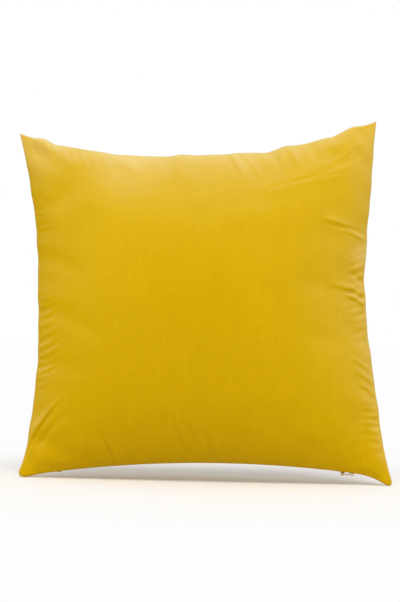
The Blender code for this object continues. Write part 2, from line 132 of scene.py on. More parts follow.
# Zip fittings, given like the seam's own points: across the seam plane and in from the seam
TAPE_MIDDLE = 0.00315
TAPE_THICKNESS = 0.0004
TAPE_BOTTOM = 0.0037
TAPE_WIDTH = 0.0102
TAPE_OVERHANG = 0.008
TAPE_STATIONS = 60
TAPE_RIBS = 7
TAPE_RIB_HEIGHT = 0.00006
COIL_MIDDLE = (0.00155, 0.0047)
COIL_HALF = (0.00075, 0.00098)
COIL_PITCH = 0.0014
COIL_WIRE = 0.0003
ROUTE_POINTS = 120
LABEL_WIDTH = 0.018
LABEL_HEIGHT = 0.034
LABEL_PLY = 0.00013
LABEL_FOLD = 0.0004
LABEL_HALF_GAP = 0.0001
LABEL_FORESHORTENED = 0.80
COVER_LABEL = ((-0.925, -0.30), 0.0032)
INSERT_LABEL = ((0.915, 0.28), 0.0062)

# Grids: cells along a side of a panel, and how strongly they crowd towards the seams
COVER_CELLS = 270
INSIDE_COARSER = 3
INSERT_CELLS = 84
FILL_CELLS = 70
EDGE_CROWDING = 0.7

BOTTOM_LEFT = np.array((-HALF_WIDTH + BOTTOM_LEFT_INSET, CORNER_LIFTS[0]))
BOTTOM_RIGHT = np.array((HALF_WIDTH, CORNER_LIFTS[1]))
TOP_LEFT = np.array((-HALF_WIDTH, COVER_HEIGHT - TOP_LEFT_DROP))
TOP_RIGHT = np.array((HALF_WIDTH - TOP_RIGHT_INSET, COVER_HEIGHT))
BOTTOM_MIDDLE_X = (BOTTOM_LEFT[0] + BOTTOM_RIGHT[0]) / 2
BOTTOM_HALF = (BOTTOM_RIGHT[0] - BOTTOM_LEFT[0]) / 2
ZIP_ARC_CENTRE = Vector((BOTTOM_MIDDLE_X + ZIP_SEAM_CREST_SHIFT, 0, BOTTOM_SAG - ZIP_SEAM_RADIUS))


# Outline of the sewn cover


def between(start, end, share):
    """Points on the straight line between two corners."""
    return start + np.multiply.outer(share, end - start)


def blunting(t, both=False):
    """How far an edge bulges beside a blunt bottom corner: at its lower end, or at both ends."""
    from_corner = 1 - (np.abs(t) if both else -t)
    return CORNER_BLUNTING * from_corner * np.exp(-from_corner / CORNER_REACH)


def pull_in(t, sag, power=SAG_POWER):
    """How far an edge is pulled in at t, from -1 at one corner to 1 at the other."""
    return sag * (1 - np.abs(t) ** power) - blunting(t)


def swelling(t, place, width, height):
    """A local swelling of an edge."""
    return height * np.exp(-(((t - place) / width) ** 2)) * (1 - t**16)


def seam_wander(t, seed):
    """The small wander of a sewn edge, where the cloth draws up between stitches."""
    rows = np.sin(9 * t + seed) + 0.7 * np.sin(23 * t + 2.1 * seed) + 0.5 * np.sin(41 * t + 3.7 * seed)
    return SEAM_WANDER * rows * (1 - t**8)


def zip_arc_drop(x):
    """How far the zip's arc has fallen from its crest, at x from the bottom seam's middle."""
    return ZIP_SEAM_RADIUS - np.sqrt(ZIP_SEAM_RADIUS**2 - (x - ZIP_SEAM_CREST_SHIFT) ** 2)


def bottom_edge(t):
    """The bottom seam: the zip's arc, then a quicker fall to each corner."""
    x = t * BOTTOM_HALF
    past = np.maximum(0.0, np.abs(x) - ZIP_RUN) / (BOTTOM_HALF - ZIP_RUN)
    corner_fall = BOTTOM_SAG - zip_arc_drop(np.copysign(BOTTOM_HALF, x))
    z = BOTTOM_SAG - zip_arc_drop(x) - corner_fall * past**2
    z += np.where(t < 0, *CORNER_LIFTS) * past**3 - blunting(t, both=True)
    return np.stack((BOTTOM_MIDDLE_X + x, z), -1)


def top_edge(t):
    """The top seam."""
    points = between(TOP_LEFT, TOP_RIGHT, (t + 1) / 2)
    points[..., 1] += seam_wander(t, 1.3) - TOP_SAG * (1 - np.abs(t) ** SAG_POWER)
    points[..., 1] += sum(swelling(t, *local) for local in TOP_SWELLINGS)
    return points


def left_edge(t):
    """The left seam, from bottom to top."""
    points = between(BOTTOM_LEFT, TOP_LEFT, (t + 1) / 2)
    points[..., 0] += pull_in(t, LEFT_SAG) + seam_wander(t, 4.2)
    return points


def right_edge(t):
    """The right seam, from bottom to top."""
    points = between(BOTTOM_RIGHT, TOP_RIGHT, (t + 1) / 2)
    points[..., 0] -= pull_in(t, RIGHT_SAG, RIGHT_SAG_POWER) + seam_wander(t, 2.6)
    points[..., 0] += sum(swelling(t, *local) for local in RIGHT_SWELLINGS)
    return points


def planform(u, v):
    """The points (x, z) of the outline's filled patch at (u, v), each from -1 to 1."""
    a = ((u + 1) / 2)[..., None]
    b = ((v + 1) / 2)[..., None]
    across = left_edge(v) * (1 - a) + right_edge(v) * a
    along = bottom_edge(u) * (1 - b) + top_edge(u) * b
    low = BOTTOM_LEFT * (1 - a) + BOTTOM_RIGHT * a
    high = TOP_LEFT * (1 - a) + TOP_RIGHT * a
    return across + along - (low * (1 - b) + high * b)


def raised(flat, heights):
    """Points of the seam plane, given as (x, z), at these distances behind it."""
    return np.stack((flat[..., 0], heights, flat[..., 1]), -1)


def inset_share(inset):
    """The share of u and of v at which a ring lies this far inside the seam."""
    return 1 - inset / HALF_WIDTH, 1 - inset / HALF_HEIGHT


def inset_planform(u, v, inset):
    """The filled patch drawn in until its edge lies this far inside the seam."""
    across, along = inset_share(inset)
    return planform(u * across, v * along)


def crowd(t):
    """Move grid lines towards the nearer seam."""
    return EDGE_CROWDING * np.sin(np.pi * t / 2) + (1 - EDGE_CROWDING) * t


def panel_grid(cells):
    """The (u, v) of a panel's grid, crowded towards the seams."""
    lines = crowd(np.linspace(-1, 1, cells + 1))
    return np.meshgrid(lines, lines)


def to_seam(u, v):
    """Distance from the nearest seam, about, in metres."""
    return np.minimum((1 - np.abs(u)) * HALF_WIDTH, (1 - np.abs(v)) * HALF_HEIGHT)


# Form of the filled cover


def fullness(u, v):
    """The share of the crown's height, 0 at the seams and 1 at the middle."""
    return np.clip((1 - u * u) * (1 - v * v), 0, None) ** CROWN_POWER


def steepness(u, v):
    """How much a fold grows when it is measured across the panel and not square to the cloth."""
    step = 0.002
    du = (fullness(np.clip(u + step, -1, 1), v) - fullness(np.clip(u - step, -1, 1), v)) / 2 / step
    dv = (fullness(u, np.clip(v + step, -1, 1)) - fullness(u, np.clip(v - step, -1, 1))) / 2 / step
    slope = np.hypot(du * CROWN / HALF_WIDTH, dv * CROWN / HALF_HEIGHT)
    return np.minimum(np.sqrt(1 + slope**2), MOST_STEEPNESS)


def seam_fold(distance):
    """The small round of the cloth where it turns in at a seam."""
    s = np.clip(distance / SEAM_FOLD_RADIUS, 0, 1)
    return SEAM_FOLD_RADIUS * np.sqrt(1 - (1 - s) ** 2)


def lip_share(u, v):
    """1 along the zip's slit and 0 along the sewn seams."""
    x = np.abs(u) * BOTTOM_HALF
    along = np.clip((BOTTOM_HALF - x) / (BOTTOM_HALF - ZIP_RUN), 0, 1)
    return np.where(v < -0.99999, along, 0.0)


def cover_height(u, v, wrinkles):
    """Height of a cover panel's outer face over the seam plane."""
    distance = to_seam(u, v)
    edge = SEAM_GAP + (ZIP_LIP - SEAM_GAP) * lip_share(u, v)
    plain = edge + seam_fold(distance) + (CROWN - SEAM_FOLD_RADIUS - SEAM_GAP) * fullness(u, v)
    settled = np.clip(distance / FOLDS_CLEAR_OF_SEAM, 0, 1)
    return np.maximum(plain + wrinkles * steepness(u, v) * settled, edge + seam_fold(distance))


# Folds and puckers of the cover

FOLD_STEPS = 14
SIDE_PUCKER_HEIGHT = 0.00055
SIDE_PUCKER_PITCH = 0.0105
SIDE_PUCKER_WIDE_PITCH = 0.0167
END_PUCKER_HEIGHT = 0.00045
END_PUCKER_PITCH = 0.0135
LUMP_HEIGHT = 0.0011


class Fold:
    """A crease or ridge in the cloth, along a curve through three places given as (x, z)."""

    def __init__(self, start, middle, end, width, height, lean=0.0):
        share = np.linspace(0, 1, FOLD_STEPS + 1)[:, None]
        start, middle, end = (np.array(place) for place in (start, middle, end))
        bend = 2 * middle - (start + end) / 2
        self.line = (1 - share) ** 2 * start + 2 * share * (1 - share) * bend + share**2 * end
        self.width = width
        self.height = height
        self.lean = lean

    def rise(self, flat):
        """The fold's height at points (x, z)."""
        nearest = np.full(flat.shape[:-1], 1e9)
        signed = np.zeros(flat.shape[:-1])
        along = np.zeros(flat.shape[:-1])
        for i in range(FOLD_STEPS):
            a, b = self.line[i], self.line[i + 1]
            run = b - a
            length = np.hypot(*run)
            way = run / length
            t = (flat - a) @ way
            inside = np.clip(t, 0, length)
            off = flat - a - inside[..., None] * way
            distance = np.hypot(off[..., 0], off[..., 1])
            closer = distance < nearest
            nearest = np.where(closer, distance, nearest)
            signed = np.where(closer, (flat - a) @ np.array((-way[1], way[0])), signed)
            along = np.where(closer, (i + inside / length) / FOLD_STEPS, along)
        taper = np.sin(np.pi * np.clip(along, 0.02, 0.98)) ** 0.7
        across = nearest / self.width
        profile = np.exp(-(across**2)) + self.lean * (signed / self.width) * np.exp(-(across**2) / 2)
        return self.height * taper * profile


def front_folds():
    """The folds that this pillow's front has settled into."""
    return [
        # top left ear: a ridge off the corner with a hollow under it
        Fold((-0.213, 0.404), (-0.192, 0.396), (-0.160, 0.374), 0.0058, 0.0020),
        Fold((-0.216, 0.394), (-0.200, 0.383), (-0.166, 0.358), 0.0068, -0.0016),
        # draws along the top
        Fold((-0.114, 0.388), (-0.099, 0.377), (-0.080, 0.362), 0.0085, 0.0027),
        Fold((-0.062, 0.394), (-0.056, 0.383), (-0.053, 0.366), 0.0038, -0.0013),
        Fold((-0.044, 0.396), (-0.039, 0.385), (-0.038, 0.362), 0.0042, 0.0015),
        Fold((0.020, 0.396), (0.032, 0.382), (0.040, 0.362), 0.0030, 0.0013, 0.5),
        Fold((0.040, 0.395), (0.050, 0.381), (0.062, 0.362), 0.0027, 0.0012, 0.5),
        Fold((0.066, 0.400), (0.078, 0.388), (0.086, 0.368), 0.0042, -0.0016),
        Fold((0.088, 0.405), (0.100, 0.393), (0.106, 0.374), 0.0042, 0.0016),
        # long thin draws towards the top right corner, on a soft swell
        Fold((0.040, 0.344), (0.108, 0.361), (0.176, 0.379), 0.0120, 0.0013),
        Fold((0.060, 0.346), (0.111, 0.362), (0.170, 0.374), 0.0021, -0.0005, 0.4),
        Fold((0.104, 0.360), (0.147, 0.377), (0.188, 0.396), 0.0021, -0.0005, 0.4),
        Fold((0.128, 0.378), (0.156, 0.391), (0.188, 0.414), 0.0026, 0.0006),
        # right side: two groups of pinched creases, then ripples
        Fold((0.134, 0.317), (0.154, 0.313), (0.176, 0.305), 0.0028, 0.0015, 0.5),
        Fold((0.152, 0.309), (0.170, 0.305), (0.188, 0.297), 0.0028, -0.0018, 0.5),
        Fold((0.158, 0.307), (0.174, 0.301), (0.192, 0.291), 0.0026, 0.0015, 0.5),
        Fold((0.146, 0.239), (0.166, 0.236), (0.188, 0.228), 0.0027, 0.0014, 0.5),
        Fold((0.162, 0.232), (0.176, 0.229), (0.192, 0.222), 0.0026, -0.0015, 0.4),
        Fold((0.164, 0.228), (0.178, 0.223), (0.194, 0.213), 0.0021, 0.0014, 0.6),
        Fold((0.168, 0.255), (0.180, 0.247), (0.194, 0.231), 0.0024, -0.0010, 0.5),
        Fold((0.172, 0.153), (0.188, 0.145), (0.204, 0.131), 0.0022, 0.0009, 0.5),
        Fold((0.178, 0.139), (0.193, 0.130), (0.209, 0.115), 0.0022, 0.0009, 0.5),
        Fold((0.184, 0.122), (0.198, 0.114), (0.213, 0.101), 0.0022, 0.0009, 0.5),
        # bottom left corner and the draws off the zip
        Fold((-0.208, 0.036), (-0.195, 0.064), (-0.170, 0.096), 0.0027, 0.0024, 0.7),
        Fold((-0.199, 0.030), (-0.185, 0.054), (-0.158, 0.082), 0.0044, -0.0018),
        Fold((-0.142, 0.046), (-0.138, 0.032), (-0.141, 0.016), 0.0026, -0.0017, 0.3),
        Fold((-0.122, 0.056), (-0.112, 0.037), (-0.101, 0.014), 0.0027, -0.0022, 0.6),
        Fold((-0.117, 0.054), (-0.106, 0.036), (-0.097, 0.018), 0.0026, 0.0013),
        Fold((-0.038, 0.090), (-0.032, 0.073), (-0.027, 0.056), 0.0021, 0.0014, 0.6),
        Fold((-0.030, 0.058), (-0.022, 0.042), (-0.011, 0.026), 0.0026, -0.0017, 0.5),
        Fold((-0.016, 0.076), (-0.009, 0.060), (-0.004, 0.044), 0.0020, 0.0013, 0.5),
        Fold((-0.001, 0.064), (0.006, 0.043), (0.014, 0.014), 0.0027, -0.0022, 0.6),
        Fold((0.003, 0.054), (0.006, 0.042), (0.009, 0.028), 0.0019, 0.0014),
        Fold((0.012, 0.058), (0.018, 0.040), (0.026, 0.022), 0.0034, 0.0016),
    ]


def back_folds():
    """The plainer folds of the back, given as seen through the pillow from the front."""
    return [
        Fold((-0.214, 0.403), (-0.193, 0.394), (-0.168, 0.374), 0.0050, 0.0026),
        Fold((0.190, 0.424), (0.174, 0.404), (0.150, 0.386), 0.0048, -0.0026),
        Fold((0.206, 0.030), (0.192, 0.052), (0.172, 0.076), 0.0032, 0.0018, 0.5),
        Fold((-0.204, 0.028), (-0.190, 0.050), (-0.170, 0.072), 0.0036, -0.0016),
        Fold((-0.090, 0.060), (-0.082, 0.040), (-0.078, 0.018), 0.0027, -0.0014, 0.4),
        Fold((0.060, 0.070), (0.054, 0.046), (0.052, 0.020), 0.0027, -0.0015, 0.4),
        Fold((0.072, 0.066), (0.068, 0.044), (0.066, 0.022), 0.0026, 0.0009),
        Fold((-0.020, 0.392), (-0.014, 0.378), (-0.016, 0.356), 0.0034, 0.0013, 0.4),
        Fold((-0.182, 0.250), (-0.166, 0.244), (-0.142, 0.246), 0.0026, 0.0011, 0.5),
        Fold((0.184, 0.180), (0.168, 0.176), (0.146, 0.180), 0.0026, 0.0011, 0.5),
    ]


def puckers(u, v, side):
    """Short ripples across the sewn seams, closer and deeper on the left and right."""
    x = (1 - np.abs(u)) * HALF_WIDTH
    z = (1 - np.abs(v)) * HALF_HEIGHT
    place = v * HALF_HEIGHT
    turn = 0.35 * x * np.where(u < 0, -1, 1)
    uneven = 1.9 * np.sin(place / 0.031 + 1.7 * side) + 1.4 * np.sin(place / 0.017 + np.sign(u))
    close = np.sin(2 * np.pi * (place + turn) / SIDE_PUCKER_PITCH + uneven)
    wide = np.sin(2 * np.pi * (place + 2 * turn) / SIDE_PUCKER_WIDE_PITCH - uneven)
    swell = 0.5 + 0.5 * np.sin(place / 0.029 + 2.2 * np.sign(u) + side)
    lower = np.clip((0.65 - v) / 0.40, 0, 1) * np.clip((v + 0.90) / 0.25, 0, 1)
    near_seam = np.exp(-(((x - 0.010) / 0.015) ** 2))
    sides = SIDE_PUCKER_HEIGHT * (close + 0.7 * wide) * swell * lower * near_seam
    place = u * HALF_WIDTH
    uneven = 1.9 * np.sin(place / 0.037 + side) + 1.2 * np.sin(place / 0.021 + 2 * np.sign(v))
    close = np.sin(2 * np.pi * (place + 0.25 * z * side) / END_PUCKER_PITCH + uneven)
    swell = 0.5 + 0.5 * np.sin(place / 0.052 + 1.1 * np.sign(v) + 2 * side)
    near_seam = np.exp(-(((z - 0.009) / 0.014) ** 2))
    return sides + END_PUCKER_HEIGHT * close * swell * (1 - u**6) * near_seam


def lumps(u, v, side):
    """The slow swells of the filling under the cloth."""
    a = np.sin(3.1 * u + 1.3 * side) * np.sin(2.7 * v + 0.6)
    b = np.sin(5.3 * u - 1.9 * v + 2.0 * side) * 0.5
    c = np.sin(2.2 * u + 6.1 * v + 1.0) * 0.35
    return LUMP_HEIGHT * (a + b + c) * np.sqrt(fullness(u, v))


# Objects and grids


def new_piece(name, data):
    """An object at the origin."""
    piece = bpy.data.objects.new(name, data)
    bpy.context.scene.collection.objects.link(piece)
    return piece


def grid_faces(index):
    """The quads of a grid of vertex numbers."""
    return np.stack((index[:-1, :-1], index[:-1, 1:], index[1:, 1:], index[1:, :-1]), -1).reshape(-1, 4)


# Cloth simulation of the filled cover

SIM_CELLS = 72
SIM_FRAMES = 22
SIM_MOST_MOVE = 0.012
SIM_SHORT_OF_CROWN = 0.003
SIM_UNEVENNESS = 0.0006
SIM_SETTINGS = {
    "quality": 5,
    "mass": 0.25,
    "tension_stiffness": 25,
    "compression_stiffness": 25,
    "shear_stiffness": 12,
    "bending_stiffness": 0.6,
    "shrink_min": -0.03,
    "use_pressure": True,
    "uniform_pressure_force": 4.0,
    "vertex_group_mass": "seam",
    "pin_stiffness": 1,
}


def shell_for_simulation():
    """A closed, evenly crowned shell: both panels on one grid each, joined at the seam."""
    u, v = panel_grid(SIM_CELLS)
    flat = planform(u, v)
    form = (CROWN - SIM_SHORT_OF_CROWN) * fullness(u, v)
    settle = SIM_UNEVENNESS * np.sin(31 * u + 17 * v) * np.sin(23 * v - 11 * u)
    count = SIM_CELLS + 1
    border = np.zeros((count, count), bool)
    border[0, :] = border[-1, :] = border[:, 0] = border[:, -1] = True
    front = raised(flat, -(form + settle * ~border))
    back = raised(flat, form - settle * ~border)
    index = np.arange(count * count).reshape(count, count)
    back_index = index + count * count
    back_index[border] = index[border]
    verts = np.concatenate((front.reshape(-1, 3), back.reshape(-1, 3)))
    faces = []
    for grid, turned in ((index, False), (back_index, True)):
        quads = grid_faces(grid)
        faces.append(quads[:, ::-1] if turned else quads)
    faces = np.concatenate(faces)
    keep, renumbered = np.unique(faces, return_inverse=True)
    mesh = bpy.data.meshes.new("shell_for_simulation")
    mesh.from_pydata(verts[keep].tolist(), [], renumbered.reshape(-1, 4).tolist())
    shell = new_piece("shell_for_simulation", mesh)
    seam = shell.vertex_groups.new(name="seam")
    border_rows = np.nonzero(np.isin(keep, index[border]))[0]
    seam.add(border_rows.tolist(), 1.0, "REPLACE")
    return shell, keep, index, back_index


def settled_cloth():
    """Blow the shell up as slack cloth held at its seam, and return each panel's rise over its start."""
    shell, keep, index, back_index = shell_for_simulation()
    start = np.array([vert.co for vert in shell.data.vertices])
    cloth = shell.modifiers.new("Filled cover", "CLOTH")
    for setting, value in SIM_SETTINGS.items():
        setattr(cloth.settings, setting, value)
    cloth.settings.effector_weights.gravity = 0
    cloth.collision_settings.use_collision = False
    cloth.point_cache.frame_start = 1
    cloth.point_cache.frame_end = SIM_FRAMES
    scene = bpy.context.scene
    for number in range(1, SIM_FRAMES + 1):
        scene.frame_set(number)
    evaluated = shell.evaluated_get(bpy.context.evaluated_depsgraph_get())
    moved = np.array([vert.co for vert in evaluated.data.vertices]) - start
    length = np.linalg.norm(moved, axis=1, keepdims=True)
    moved *= np.minimum(1, SIM_MOST_MOVE / np.maximum(length, 1e-9))
    scene.frame_set(1)
    everywhere = np.zeros((2 * index.size, 3))
    everywhere[keep] = moved
    bpy.data.objects.remove(shell)
    return -everywhere[index][..., 1], everywhere[back_index][..., 1]


def softened(field, cells):
    """A field with everything finer than this many grid cells taken out."""
    reach = int(3 * cells)
    weight = np.exp(-0.5 * (np.arange(-reach, reach + 1) / cells) ** 2)
    weight /= weight.sum()
    for _ in range(2):
        padded = np.pad(field, ((reach, reach), (0, 0)), "edge")
        field = sum(w * padded[i:i + field.shape[0]] for i, w in enumerate(weight)).T
    return field


def sampled(field, u, v):
    """The field, given on the simulation's grid, at (u, v)."""
    steps = np.linspace(-1, 1, 4001)
    row = (np.interp(v, crowd(steps), steps) + 1) / 2 * SIM_CELLS
    column = (np.interp(u, crowd(steps), steps) + 1) / 2 * SIM_CELLS
    total = 0.0
    for i in range(-1, 3):
        for j in range(-1, 3):
            r = np.clip(np.floor(row) + i, 0, SIM_CELLS).astype(int)
            c = np.clip(np.floor(column) + j, 0, SIM_CELLS).astype(int)
            weight = spread(row - np.floor(row) - i) * spread(column - np.floor(column) - j)
            total = total + field[r, c] * weight
    return total


def spread(x):
    """The weight of a grid value at a distance of x cells."""
    x = np.abs(x)
    near = (4 - 6 * x**2 + 3 * x**3) / 6
    far = (2 - x) ** 3 / 6
    return np.where(x < 1, near, np.where(x < 2, far, 0.0))


DIP_CELLS = 220
DIP_REACH = 3
FINEST_RIPPLE = 0.6
WIDEST_RIPPLE = 4.5


class Cloth:
    """The drawn-in detail of one side of the cover, from the simulation and from its settled folds."""

    def __init__(self, side, rise, folds, gain):
        self.side = side
        self.folds = folds
        self.gain = gain
        self.detail = None
        if rise is not None:
            self.detail = softened(rise, FINEST_RIPPLE) - softened(rise, WIDEST_RIPPLE)
        self.dips = self.lowest_nearby()

    def wrinkles(self, u, v):
        """How far the cloth stands off its plain form at (u, v)."""
        flat = planform(u, v)
        total = lumps(u, v, self.side) + puckers(u, v, self.side)
        for fold in self.folds:
            total = total + fold.rise(flat)
        if self.detail is not None:
            total = total + self.gain * sampled(self.detail, u, v) / steepness(u, v)
        return total

    def height(self, u, v):
        """Height of the cover's outer face over the seam plane."""
        return cover_height(u, v, self.wrinkles(u, v))

    def lowest_nearby(self):
        """How low the detail dips within a few millimetres, on an even grid over the panel."""
        steps = np.linspace(-1, 1, DIP_CELLS + 1)
        u, v = np.meshgrid(steps, steps)
        field = np.pad(self.wrinkles(u, v), DIP_REACH, "edge")
        for axis in (0, 1):
            field = np.lib.stride_tricks.sliding_window_view(field, 2 * DIP_REACH + 1, axis=axis).min(-1)
        return field

    def room(self, u, v):
        """The height that every valley of the cloth near (u, v) leaves free for what is inside."""
        row = np.clip((v + 1) / 2 * DIP_CELLS, 0, DIP_CELLS - 1e-6)
        column = np.clip((u + 1) / 2 * DIP_CELLS, 0, DIP_CELLS - 1e-6)
        r, c = row.astype(int), column.astype(int)
        up, right = row - r, column - c
        near = self.dips[r, c] * (1 - right) + self.dips[r, c + 1] * right
        far = self.dips[r + 1, c] * (1 - right) + self.dips[r + 1, c + 1] * right
        return cover_height(u, v, near * (1 - up) + far * up)


# Meshes of cloth


def new_object(name, verts, faces):
    """A mesh object at the origin."""
    mesh = bpy.data.meshes.new(name)
    mesh.from_pydata(verts.tolist(), [], faces)
    mesh.validate()
    mesh.shade_smooth()
    return new_piece(name, mesh)


def border_of(count):
    """Row and column of a grid's border, once round anticlockwise."""
    last = count - 1
    rising = np.arange(last)
    rows = np.concatenate((0 * rising, rising, 0 * rising + last, last - rising))
    columns = np.concatenate((rising, 0 * rising + last, last - rising, 0 * rising))
    return rows, columns


def cover_allowance_rings(u, v):
    """The turned-in edge behind a panel's seam, as rings of (inset, height): out, then back on its inside."""
    zipped = lip_share(u, v)
    hem = ALLOWANCE_WIDTH + (HEM_WIDTH - ALLOWANCE_WIDTH) * zipped
    flared = SEAM_GAP + (HEM_CLEAR_OF_TAPE - SEAM_GAP) * zipped
    lip = SEAM_GAP + (ZIP_LIP + LIP_FLARE - SEAM_GAP) * zipped
    return [
        (LIP_END + 0 * u, lip),
        (FLARE_START + 0 * u, flared),
        (0.5 * hem, flared),
        (hem, flared),
        (hem, flared + FOLD_CLOTH),
        (0.5 * hem, flared + FOLD_CLOTH),
        (INSIDE_START + 0 * u, flared + FOLD_CLOTH),
    ]


def make_cover_panel(name, cloth):
    """One velvet panel: outer face, edges turned in at the seams and the zip, and its inside."""
    side = cloth.side
    u, v = panel_grid(COVER_CELLS)
    flat = planform(u, v)
    outer = raised(flat, side * cloth.height(u, v))
    rows, columns = border_of(len(u))
    border_u, border_v = u[rows, columns], v[rows, columns]
    u, v = u[::INSIDE_COARSER, ::INSIDE_COARSER], v[::INSIDE_COARSER, ::INSIDE_COARSER]
    across, along = inset_share(COVER_CLOTH)
    inner_flat = planform(u * across, v * along)
    edge = SEAM_GAP + (ZIP_LIP - SEAM_GAP) * lip_share(u, v) + FOLD_CLOTH
    under = cloth.room(u * across, v * along) - COVER_CLOTH * 0.75 * steepness(u, v)
    inner = raised(inner_flat, side * np.maximum(under, edge))
    rings = []
    for inset, height in cover_allowance_rings(border_u, border_v):
        rings.append(raised(inset_planform(border_u, border_v, inset), side * height))
    return joined_grids(name, side, outer, inner, rings)


def lay_cloth_coordinates(panel):
    """Give cloth a UV map in metres, seen square to the seam plane."""
    layer = panel.data.uv_layers.new(name="cloth")
    places = np.array([vert.co for vert in panel.data.vertices])
    corners = np.zeros(len(panel.data.loops), int)
    panel.data.loops.foreach_get("vertex_index", corners)
    layer.data.foreach_set("uv", places[corners][:, (0, 2)].astype(np.float32).ravel())


# Meshes of the insert, the labels and the zip

BLEND = 0.0008


def make_layer(name, side, cells, inset, height, thickness, rings):
    """One side of an inner layer of cloth: an outer face, a short turned-in edge and its inside."""
    u, v = panel_grid(cells)
    outer = raised(inset_planform(u, v, inset), side * height(u, v))
    under = np.maximum(height(u, v) - thickness * steepness(u, v), SEAM_GAP + thickness / 2)
    inner = raised(inset_planform(u, v, inset + thickness), side * under)
    rows, columns = border_of(cells + 1)
    made = []
    for more, lift in rings:
        ring = inset_planform(u[rows, columns], v[rows, columns], inset + more)
        made.append(raised(ring, np.full(len(rows), side * lift)))
    return joined_grids(name, side, outer, inner, made)


def joined_grids(name, side, outer, inner, rings):
    """A closed mesh of cloth: outer grid, rings behind its edge, and an inner grid, as fine or coarser."""
    count, inner_count = len(outer), len(inner)
    rows, columns = border_of(count)
    verts = np.concatenate([outer.reshape(-1, 3)] + rings + [inner.reshape(-1, 3)])
    outer_index = np.arange(count * count).reshape(count, count)
    inner_index = len(verts) - inner_count**2 + np.arange(inner_count**2).reshape(inner_count, inner_count)
    loops = [outer_index[rows, columns]]
    for i in range(len(rings)):
        loops.append(count * count + i * len(rows) + np.arange(len(rows)))
    faces = grid_faces(outer_index).tolist() + grid_faces(inner_index)[:, ::-1].tolist()
    for a, b in zip(loops, loops[1:]):
        faces += np.stack((b, np.roll(b, -1), np.roll(a, -1), a), -1).tolist()
    rows, columns = border_of(inner_count)
    inside = inner_index[rows, columns]
    each = len(loops[-1]) // len(inside)
    for i, (here, after) in enumerate(zip(inside, np.roll(inside, -1))):
        run = np.take(loops[-1], range(i * each, i * each + each + 1), mode="wrap")
        faces.append([here, after] + run[::-1].tolist())
    if side > 0:
        faces = [face[::-1] for face in faces]
    panel = new_object(name, verts, faces)
    lay_cloth_coordinates(panel)
    return panel


def smaller_of(a, b):
    """The smaller of two heights, with a smooth change from one to the other."""
    least = np.minimum(a, b)
    return least - BLEND * np.log(np.exp((least - a) / BLEND) + np.exp((least - b) / BLEND))


def room_under(cloth, inset, depth):
    """The height under a side of the cover, this deep, for a layer whose own seam is inset."""
    across, along = inset_share(inset)

    def height(u, v):
        return cloth.room(u * across, v * along) - depth * steepness(u * across, v * along)

    return height


def insert_height(cloth):
    """Height of the insert's face on one side: its own round, held in by the cover."""
    room = room_under(cloth, INSERT_INSET, INSERT_DEPTH)

    def height(u, v):
        gathers = np.sin(95 * u + 40 * v) * np.sin(88 * v - 31 * u)
        drawn = INSERT_GATHERS * gathers * np.clip(1 - fullness(u, v), 0, 1) ** 2
        own = 0.0016 + (CROWN - INSERT_SHORT_OF_CROWN) * fullness(u, v) ** 1.05 + drawn
        held = np.maximum(smaller_of(own, room(u, v)), 0.0004)
        return SEAM_GAP + held * np.clip(to_seam(u, v) / 0.0008, 0, 1)

    return height


def make_filling(name, cloths):
    """The fibre filling: one closed soft body, tufted where the fibre has gathered."""
    u, v = panel_grid(FILL_CELLS)
    flat = inset_planform(u, v, INSERT_INSET + FILL_INSET)
    count = FILL_CELLS + 1
    verts = []
    for cloth in cloths:
        room = room_under(cloth, INSERT_INSET + FILL_INSET, INSERT_DEPTH + FILL_DEPTH)
        tufts = np.sin(41 * u + 9 * np.sin(6 * v)) * np.sin(37 * v + 8 * np.sin(7 * u + cloth.side))
        own = 0.001 + (CROWN - FILL_SHORT_OF_CROWN) * fullness(u, v) ** 1.15
        tufting = FILL_TUFTS * (1 + tufts) * np.clip(fullness(u, v) * 4, 0, 1)
        height = smaller_of(own, room(u, v)) - tufting
        height = np.maximum(height, 0) * np.clip(to_seam(u, v) / 0.0004, 0, 1)
        verts.append(raised(flat, cloth.side * height).reshape(-1, 3))
    front = np.arange(count * count).reshape(count, count)
    back = front + count * count
    rows, columns = border_of(count)
    back[rows, columns] = front[rows, columns]
    faces = np.concatenate((grid_faces(front), grid_faces(back)[:, ::-1]))
    keep, renumbered = np.unique(faces, return_inverse=True)
    filling = new_object(name, np.concatenate(verts)[keep], renumbered.reshape(-1, 4).tolist())
    lay_cloth_coordinates(filling)
    return filling


def seam_point(along, across, depth):
    """Points given along the zip's arc, across it, and inwards from it."""
    turn = (along - ZIP_SEAM_CREST_SHIFT) / ZIP_SEAM_RADIUS
    reach = ZIP_SEAM_RADIUS + depth
    x = ZIP_ARC_CENTRE.x + reach * np.sin(turn)
    z = ZIP_ARC_CENTRE.z + reach * np.cos(turn)
    return np.stack(np.broadcast_arrays(x, across, z), -1)


def tube_grid(name, points):
    """A closed mesh from rings of points: an array of (ring, corner, xyz)."""
    rings, corners = points.shape[:2]
    index = np.arange(rings * corners).reshape(rings, corners)
    after = np.roll(index, -1, axis=1)
    faces = np.stack((index[:-1], after[:-1], after[1:], index[1:]), -1).reshape(-1, 4).tolist()
    faces += [index[0, ::-1].tolist(), index[-1].tolist()]
    mesh = bpy.data.meshes.new(name)
    mesh.from_pydata(points.reshape(-1, 3).tolist(), [], faces)
    bm = bmesh.new()
    bm.from_mesh(mesh)
    bmesh.ops.recalc_face_normals(bm, faces=bm.faces)
    bm.to_mesh(mesh)
    bm.free()
    return new_piece(name, mesh)


